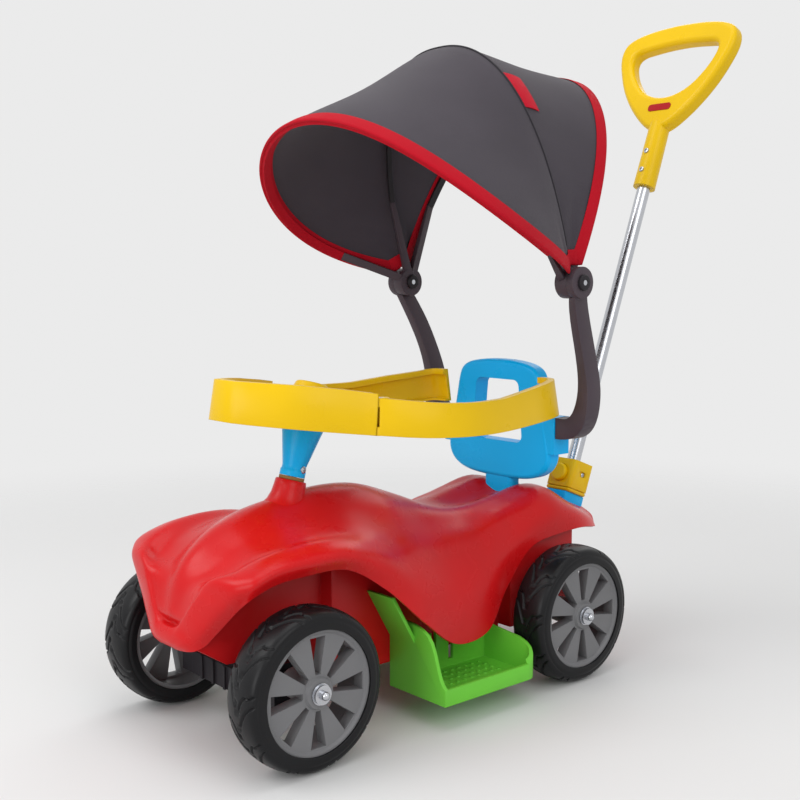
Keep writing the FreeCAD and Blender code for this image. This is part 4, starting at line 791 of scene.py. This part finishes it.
def curveThrough(points, count):
    steps = [max((second - first).length, 1e-6) for first, second in zip(points, points[1:])]
    slopes = [(points[1] - points[0]) / steps[0]]
    for index in range(1, len(points) - 1):
        first, second = steps[index - 1], steps[index]
        slopes.append(((points[index] - points[index - 1]) / first * second
                       + (points[index + 1] - points[index]) / second * first) / (first + second))
    slopes.append((points[-1] - points[-2]) / steps[-1])
    spots = []
    for index in range(count + 1):
        place = index / count * (len(points) - 1)
        part = min(int(place), len(points) - 2)
        t = place - part
        rise = 3 * t ** 2 - 2 * t ** 3
        leaving = steps[part] * (t ** 3 - 2 * t ** 2 + t)
        arriving = steps[part] * (t ** 3 - t ** 2)
        spots.append(points[part] * (1 - rise) + slopes[part] * leaving
                     + points[part + 1] * rise + slopes[part + 1] * arriving)
    return spots


def evenly(points, count):
    dense = curveThrough(points, skin["dense"] * (len(points) - 1))
    lengths = [0.0]
    for first, second in zip(dense, dense[1:]):
        lengths.append(lengths[-1] + (second - first).length)
    spots = []
    part = 0
    for index in range(count + 1):
        goal = lengths[-1] * index / count
        while part < len(dense) - 2 and lengths[part + 1] < goal:
            part += 1
        share = (goal - lengths[part]) / max(lengths[part + 1] - lengths[part], 1e-9)
        spots.append(dense[part].lerp(dense[part + 1], share))
    return spots


# the hole for the steering shaft, hidden under the neck
def boreSteering(obj):
    inEdit(obj)
    bpy.ops.mesh.select_mode(type="VERT")
    bpy.ops.mesh.select_all(action="DESELECT")
    bpy.ops.object.mode_set(mode="OBJECT")
    line = columnTurn @ Vector((0, 0, 1))
    for vertex in obj.data.vertices:
        vertex.select = (vertex.co - columnFoot).cross(line).length < skin["bore"]
    bpy.ops.object.mode_set(mode="EDIT")
    bpy.ops.mesh.delete(type="VERT")
    bpy.ops.object.mode_set(mode="OBJECT")


def makeBodySkin():
    rows = lipRows + [bodyRow(*row) for row in bodyRows]
    rows += [tailRow(rows[-1], share, y) for share, y in tailShares]
    crossRows = []
    for row in rows:
        right = [Vector(spot) * millimetre + Vector((0, middleY, 0)) for spot in row]
        left = [Vector((-spot.x, spot.y, spot.z)) for spot in reversed(right[1:])]
        crossRows.append(evenly(left + right, skin["across"]))
    lengths = [curveThrough(column, skin["along"]) for column in zip(*crossRows)]
    points = [spot for row in zip(*lengths) for spot in row]
    obj = meshPiece("body_skin", points, gridFaces(skin["along"] + 1, skin["across"] + 1))
    facesOutward(obj, Vector((0, middleY, skin["coreHeight"])))
    onlySelect(obj)
    relax = obj.modifiers.new("relax", "SMOOTH")
    relax.factor = skin["relaxFactor"]
    relax.iterations = skin["relax"]
    bpy.ops.object.modifier_apply(modifier="relax")
    boreSteering(obj)
    thicken(obj, skin["wall"], -1)
    smoothed(obj, skin["smooth"])
    return finishPiece(obj, "body_skin", "bodyRed", "chassis", "body_red", "body_shell")


# flared neck under the column: a ring profile spun round the raked steering line
neck = {"steps": 72, "drop": -0.0041, "smooth": 50}
neckProfile = [
    (0.0112, 0.0), (0.0178, 0.0), (0.0188, -0.0012), (0.0194, -0.008), (0.0208, -0.018), (0.0238, -0.0265),
    (0.0290, -0.034), (0.0360, -0.041), (0.0430, -0.049), (0.0430, -0.053), (0.0330, -0.046), (0.0112, -0.020),
]


def spunRing(name, profile, steps):
    return spun(name, [(radius, 0, up) for radius, up in profile], steps, (0, 0, 1))


def makeNeck():
    obj = spunRing("body_neck", neckProfile, neck["steps"])
    obj.data.transform(Matrix.Translation(onColumn(0, 0, neck["drop"])) @ columnTurn.to_4x4())
    smoothed(obj, neck["smooth"])
    return finishPiece(obj, "body_neck", "bodyRed", "chassis", "body_red")


bodySkin = makeBodySkin()
makeNeck()
print("body skin made:", len(bodySkin.data.polygons), "faces")


# tyres: a crowned profile spun round the axle, with curved tread grooves pressed in
tyre = {"half": 0.0265, "radius": 0.090, "steps": 480, "curveSteps": 5, "repeats": 10, "groove": 0.0011,
        "depth": 0.0022, "wide": 1.5, "lineSteps": 4, "plainRadius": 0.0815, "smooth": 45}
crown = [
    (1.0, 0.06915), (1.0, 0.0735), (0.992, 0.0765), (0.955, 0.0795), (0.957, 0.0805), (0.93, 0.0832),
    (0.86, 0.0856), (0.74, 0.0874), (0.56, 0.0887), (0.34, 0.0896), (0.12, 0.0900),
]
grooveLines = [
    [(0.0, 0.0015), (0.009, 0.0050), (0.019, 0.0105), (0.028, 0.0170), (0.033, 0.0235)],
    [(0.021, 0.0030), (0.032, 0.0062), (0.041, 0.0120), (0.0405, 0.0160), (0.0445, 0.0230)],
]


def splineValue(before, start, end, after, t):
    bend = 2 * before - 5 * start + 4 * end - after
    twist = 3 * start - before - 3 * end + after
    return 0.5 * (2 * start + (end - before) * t + bend * t * t + twist * t ** 3)


def splinePoints(points, steps):
    spots = []
    for index in range(len(points) - 1):
        before = points[max(index - 1, 0)]
        start, end = points[index], points[index + 1]
        after = points[min(index + 2, len(points) - 1)]
        for step in range(steps):
            spots.append(tuple(splineValue(*four, step / steps) for four in zip(before, start, end, after)))
    spots.append(points[-1])
    return spots


def segmentDistance(point, start, end):
    runX, runY = end[0] - start[0], end[1] - start[1]
    length = runX * runX + runY * runY or 1e-12
    share = max(0, min(1, ((point[0] - start[0]) * runX + (point[1] - start[1]) * runY) / length))
    return math.hypot(point[0] - start[0] - runX * share, point[1] - start[1] - runY * share)


def grooveDepth(travel, side, lines, period):
    if side < 0:
        travel += period / 2
    near = 1.0
    for line in lines:
        for shift in (period, 0):
            spot = (travel % period + shift, abs(side))
            for start, end in zip(line, line[1:]):
                near = min(near, segmentDistance(spot, start, end))
    share = max(0.0, min(1.0, (tyre["groove"] * tyre["wide"] - near) / tyre["groove"]))
    return tyre["depth"] * share * share * (3 - 2 * share)


def makeTyre():
    half = [(tyre["half"] * share, radius) for share, radius in crown]
    outline = splinePoints(half, tyre["curveSteps"])
    outline = outline + [(-x, radius) for x, radius in reversed(outline)]
    obj = spun("tyre", [(x, 0, radius) for x, radius in outline], tyre["steps"], (1, 0, 0))
    period = 2 * math.pi * tyre["radius"] / tyre["repeats"]
    lines = [splinePoints(line, tyre["lineSteps"]) for line in grooveLines]
    for vertex in obj.data.vertices:
        reach = math.hypot(vertex.co.y, vertex.co.z)
        if reach < tyre["plainRadius"]:
            continue
        angle = math.atan2(vertex.co.y, vertex.co.z) % (2 * math.pi)
        depth = grooveDepth(angle * tyre["radius"], vertex.co.x, lines, period)
        if depth:
            shrink = 1 - depth / reach
            vertex.co.y *= shrink
            vertex.co.z *= shrink
    return obj


firstTyre = makeTyre()
for corner in ("front_left", "front_right", "rear_left", "rear_right"):
    low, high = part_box(f"tyre_{corner}")
    centre = (low + high) / 2
    piece = linked(f"treaded_tyre_{corner}", firstTyre.data.copy())
    turn = Matrix.Rotation(math.pi, 4, "Z") if "right" in corner else Matrix.Identity(4)
    piece.data.transform(Matrix.Translation(centre) @ turn)
    smoothed(piece, tyre["smooth"])
    finishPiece(piece, f"treaded_tyre_{corner}", "tyreBlack", f"wheel_{corner}", "tyre_black",
                f"tyre_{corner}")
bpy.data.objects.remove(firstTyre)
print("tyres made")


# screw heads: a low dome with a cross recess, modelled once with radius 1 and copied
screwShape = {"sides": 32, "recess": 0.62, "slit": 0.2, "deep": 0.34, "rim": 0.12, "rimRise": 0.10, "dome": 0.3,
              "domeRise": 0.06, "over": 0.05, "smooth": 30}
screwTop = screwShape["rimRise"] + screwShape["domeRise"]
columnSide = Vector((math.cos(rakeColumn), math.sin(rakeColumn), 0))
screwSets = [
    {"name": "column_screw_head", "node": "column_screw", "body": "steering",
     "radius": 0.0045, "length": 0.006,
     "spots": [(onColumn(*(columnSide * 0.016 + Vector((0, 0, 0.0104)))), columnTurn @ columnSide)]},
    {"name": "backrest_screw_heads", "node": "backrest_screws", "body": "chassis",
     "radius": 0.004, "length": 0.006,
     "spots": [(Vector((side * 0.0135, 0.2415 + middleY, 0.278)), Vector((0, 1, 0))) for side in (-1, 1)]},
    {"name": "handle_screw_heads", "node": "handle_screws", "body": "push_handle_pole",
     "radius": 0.004, "length": 0.006,
     "spots": [(onPole(0, -0.0185, 0.45 + up), poleTurn @ Vector((0, -1, 0))) for up in (0.014, 0.045)]},
    {"name": "socket_screw_head", "node": "socket_screw", "body": "chassis",
     "radius": 0.0036, "length": 0.0015,
     "spots": [(onPole(0.0215, 0.004, -0.018), Vector((1, 0, 0)))]},
    {"name": "footrest_screw_heads", "node": "footrest_screws", "body": "chassis",
     "radius": 0.004, "length": 0.006,
     "spots": [(Vector((side * 0.077, y + middleY, 0.078)), Vector((side, 0, 0)))
               for side in (-1, 1) for y in (-0.0082, 0.0902)]},
]


def selectFaces(obj, test):
    bpy.ops.object.mode_set(mode="OBJECT")
    for polygon in obj.data.polygons:
        polygon.select = test(polygon)
    for edge in obj.data.edges:
        edge.select = False
    for vertex in obj.data.vertices:
        vertex.select = False
    for polygon in obj.data.polygons:
        if polygon.select:
            for index in polygon.vertices:
                obj.data.vertices[index].select = True
    bpy.ops.object.mode_set(mode="EDIT")
    bpy.ops.mesh.select_mode(type="FACE")


def makeScrewHead():
    bpy.ops.object.select_all(action="DESELECT")
    bpy.ops.mesh.primitive_cylinder_add(vertices=screwShape["sides"], radius=1, depth=1,
                                        location=(0, 0, -0.5))
    head = bpy.context.object
    bpy.ops.object.transform_apply(location=True, rotation=True, scale=True)
    inEdit(head)
    selectFaces(head, lambda polygon: polygon.normal.z > 0.9)
    for ring in ("rim", "dome"):
        bpy.ops.mesh.inset(thickness=screwShape[ring], depth=0)
        bpy.ops.transform.translate(value=(0, 0, screwShape[ring + "Rise"]))
    bpy.ops.object.mode_set(mode="OBJECT")
    deep, over = screwShape["deep"], screwShape["over"]
    slot = (screwShape["recess"], screwShape["slit"])
    for halfX, halfY in (slot, slot[::-1]):
        bpy.ops.object.select_all(action="DESELECT")
        bpy.ops.mesh.primitive_cube_add(size=1, location=(0, 0, screwTop - deep / 2 + over))
        cutter = bpy.context.object
        cutter.scale = (2 * halfX, 2 * halfY, deep + 2 * over)
        bpy.ops.object.transform_apply(location=True, rotation=True, scale=True)
        onlySelect(head)
        cut = head.modifiers.new("recess", "BOOLEAN")
        cut.operation = "DIFFERENCE"
        cut.object = cutter
        cut.solver = "EXACT"
        bpy.ops.object.modifier_apply(modifier="recess")
        bpy.data.objects.remove(cutter)
    return head


def placeHeads(head, look):
    copies = []
    for spot, aim in look["spots"]:
        copy = linked(look["name"], head.data.copy())
        turn = aim.to_track_quat("Z", "Y").to_matrix().to_4x4()
        for vertex in copy.data.vertices:
            if vertex.co.z < -0.5:
                vertex.co.z = -look["length"] / look["radius"]
        top = Matrix.Translation(Vector((0, 0, -screwTop)))
        copy.data.transform(Matrix.Translation(spot) @ turn @ Matrix.Scale(look["radius"], 4) @ top)
        copies.append(copy)
    piece = joined(copies)
    smoothed(piece, screwShape["smooth"])
    return finishPiece(piece, look["name"], "steel", look["body"], "steel", look["node"])


screwHead = makeScrewHead()
for look in screwSets:
    placeHeads(screwHead, look)
bpy.data.objects.remove(screwHead)
print("screws made")


# dark caps round the canopy bolt heads, open in the middle so that the steel shows
boltCaps = {"outer": 0.1754, "inner": 0.1455, "steps": 48, "smooth": 35,
            "profile": [(0.0034, 0.0001), (0.0100, 0.0001), (0.0100, 0.0034), (0.0088, 0.0046),
                        (0.0046, 0.0050), (0.0034, 0.0042)]}


def makeBoltCaps():
    caps = []
    for side in (-1, 1):
        for x, aim in ((side * boltCaps["outer"], side), (side * boltCaps["inner"], -side)):
            cap = spunRing("canopy_bolt_caps", boltCaps["profile"], boltCaps["steps"])
            turn = Vector((aim, 0, 0)).to_track_quat("Z", "Y").to_matrix().to_4x4()
            cap.data.transform(Matrix.Translation(hubPoint + Vector((x, 0, 0))) @ turn)
            caps.append(cap)
    piece = joined(caps)
    smoothed(piece, boltCaps["smooth"])
    return finishPiece(piece, "canopy_bolt_caps", "bowBlack", "chassis", "bow_black")


makeBoltCaps()
print("bolt caps made")


# moulded pieces with rounded edges: a merged copy of the solid, bevelled along its sharp edges
rounding = {"flat": 1.5, "segments": 2, "sharp": 38}
roundedPieces = [
    {"node": "guard_front", "width": 0.0018}, {"node": "guard_arm_left", "width": 0.0018},
    {"node": "guard_arm_right", "width": 0.0018}, {"node": "canopy_arm_left", "width": 0.003},
    {"node": "canopy_arm_right", "width": 0.003}, {"node": "canopy_bracket_left", "width": 0.0012},
    {"node": "canopy_bracket_right", "width": 0.0012}, {"node": "footrest_left", "width": 0.0012},
    {"node": "footrest_right", "width": 0.0012}, {"node": "pole_socket", "width": 0.003},
    {"node": "socket_base", "width": 0.003}, {"node": "rear_bracket", "width": 0.002},
    {"node": "steering_column", "width": 0.001}, {"node": "underbody", "width": 0.004},
]


def roundedCopy(look):
    node = look["node"]
    body = frame["nodes"][node]["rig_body"]
    slot = [row["material_slot"] for row in frame["record"]["subparts"] if row["node"] == node][0]
    obj = mergedCopy(node, node + "_moulded")
    bpy.ops.mesh.dissolve_limited(angle_limit=math.radians(rounding["flat"]))
    bpy.ops.object.mode_set(mode="OBJECT")
    edges = obj.modifiers.new("edges", "BEVEL")
    edges.width = look["width"]
    edges.segments = rounding["segments"]
    edges.limit_method = "ANGLE"
    edges.angle_limit = math.radians(rounding["sharp"])
    bpy.ops.object.modifier_apply(modifier="edges")
    smoothed(obj, rounding["sharp"])
    return finishPiece(obj, node + "_moulded", slotFinish[slot], body, slot, node)


for look in roundedPieces:
    roundedCopy(look)
print("edges rounded:", len(roundedPieces))
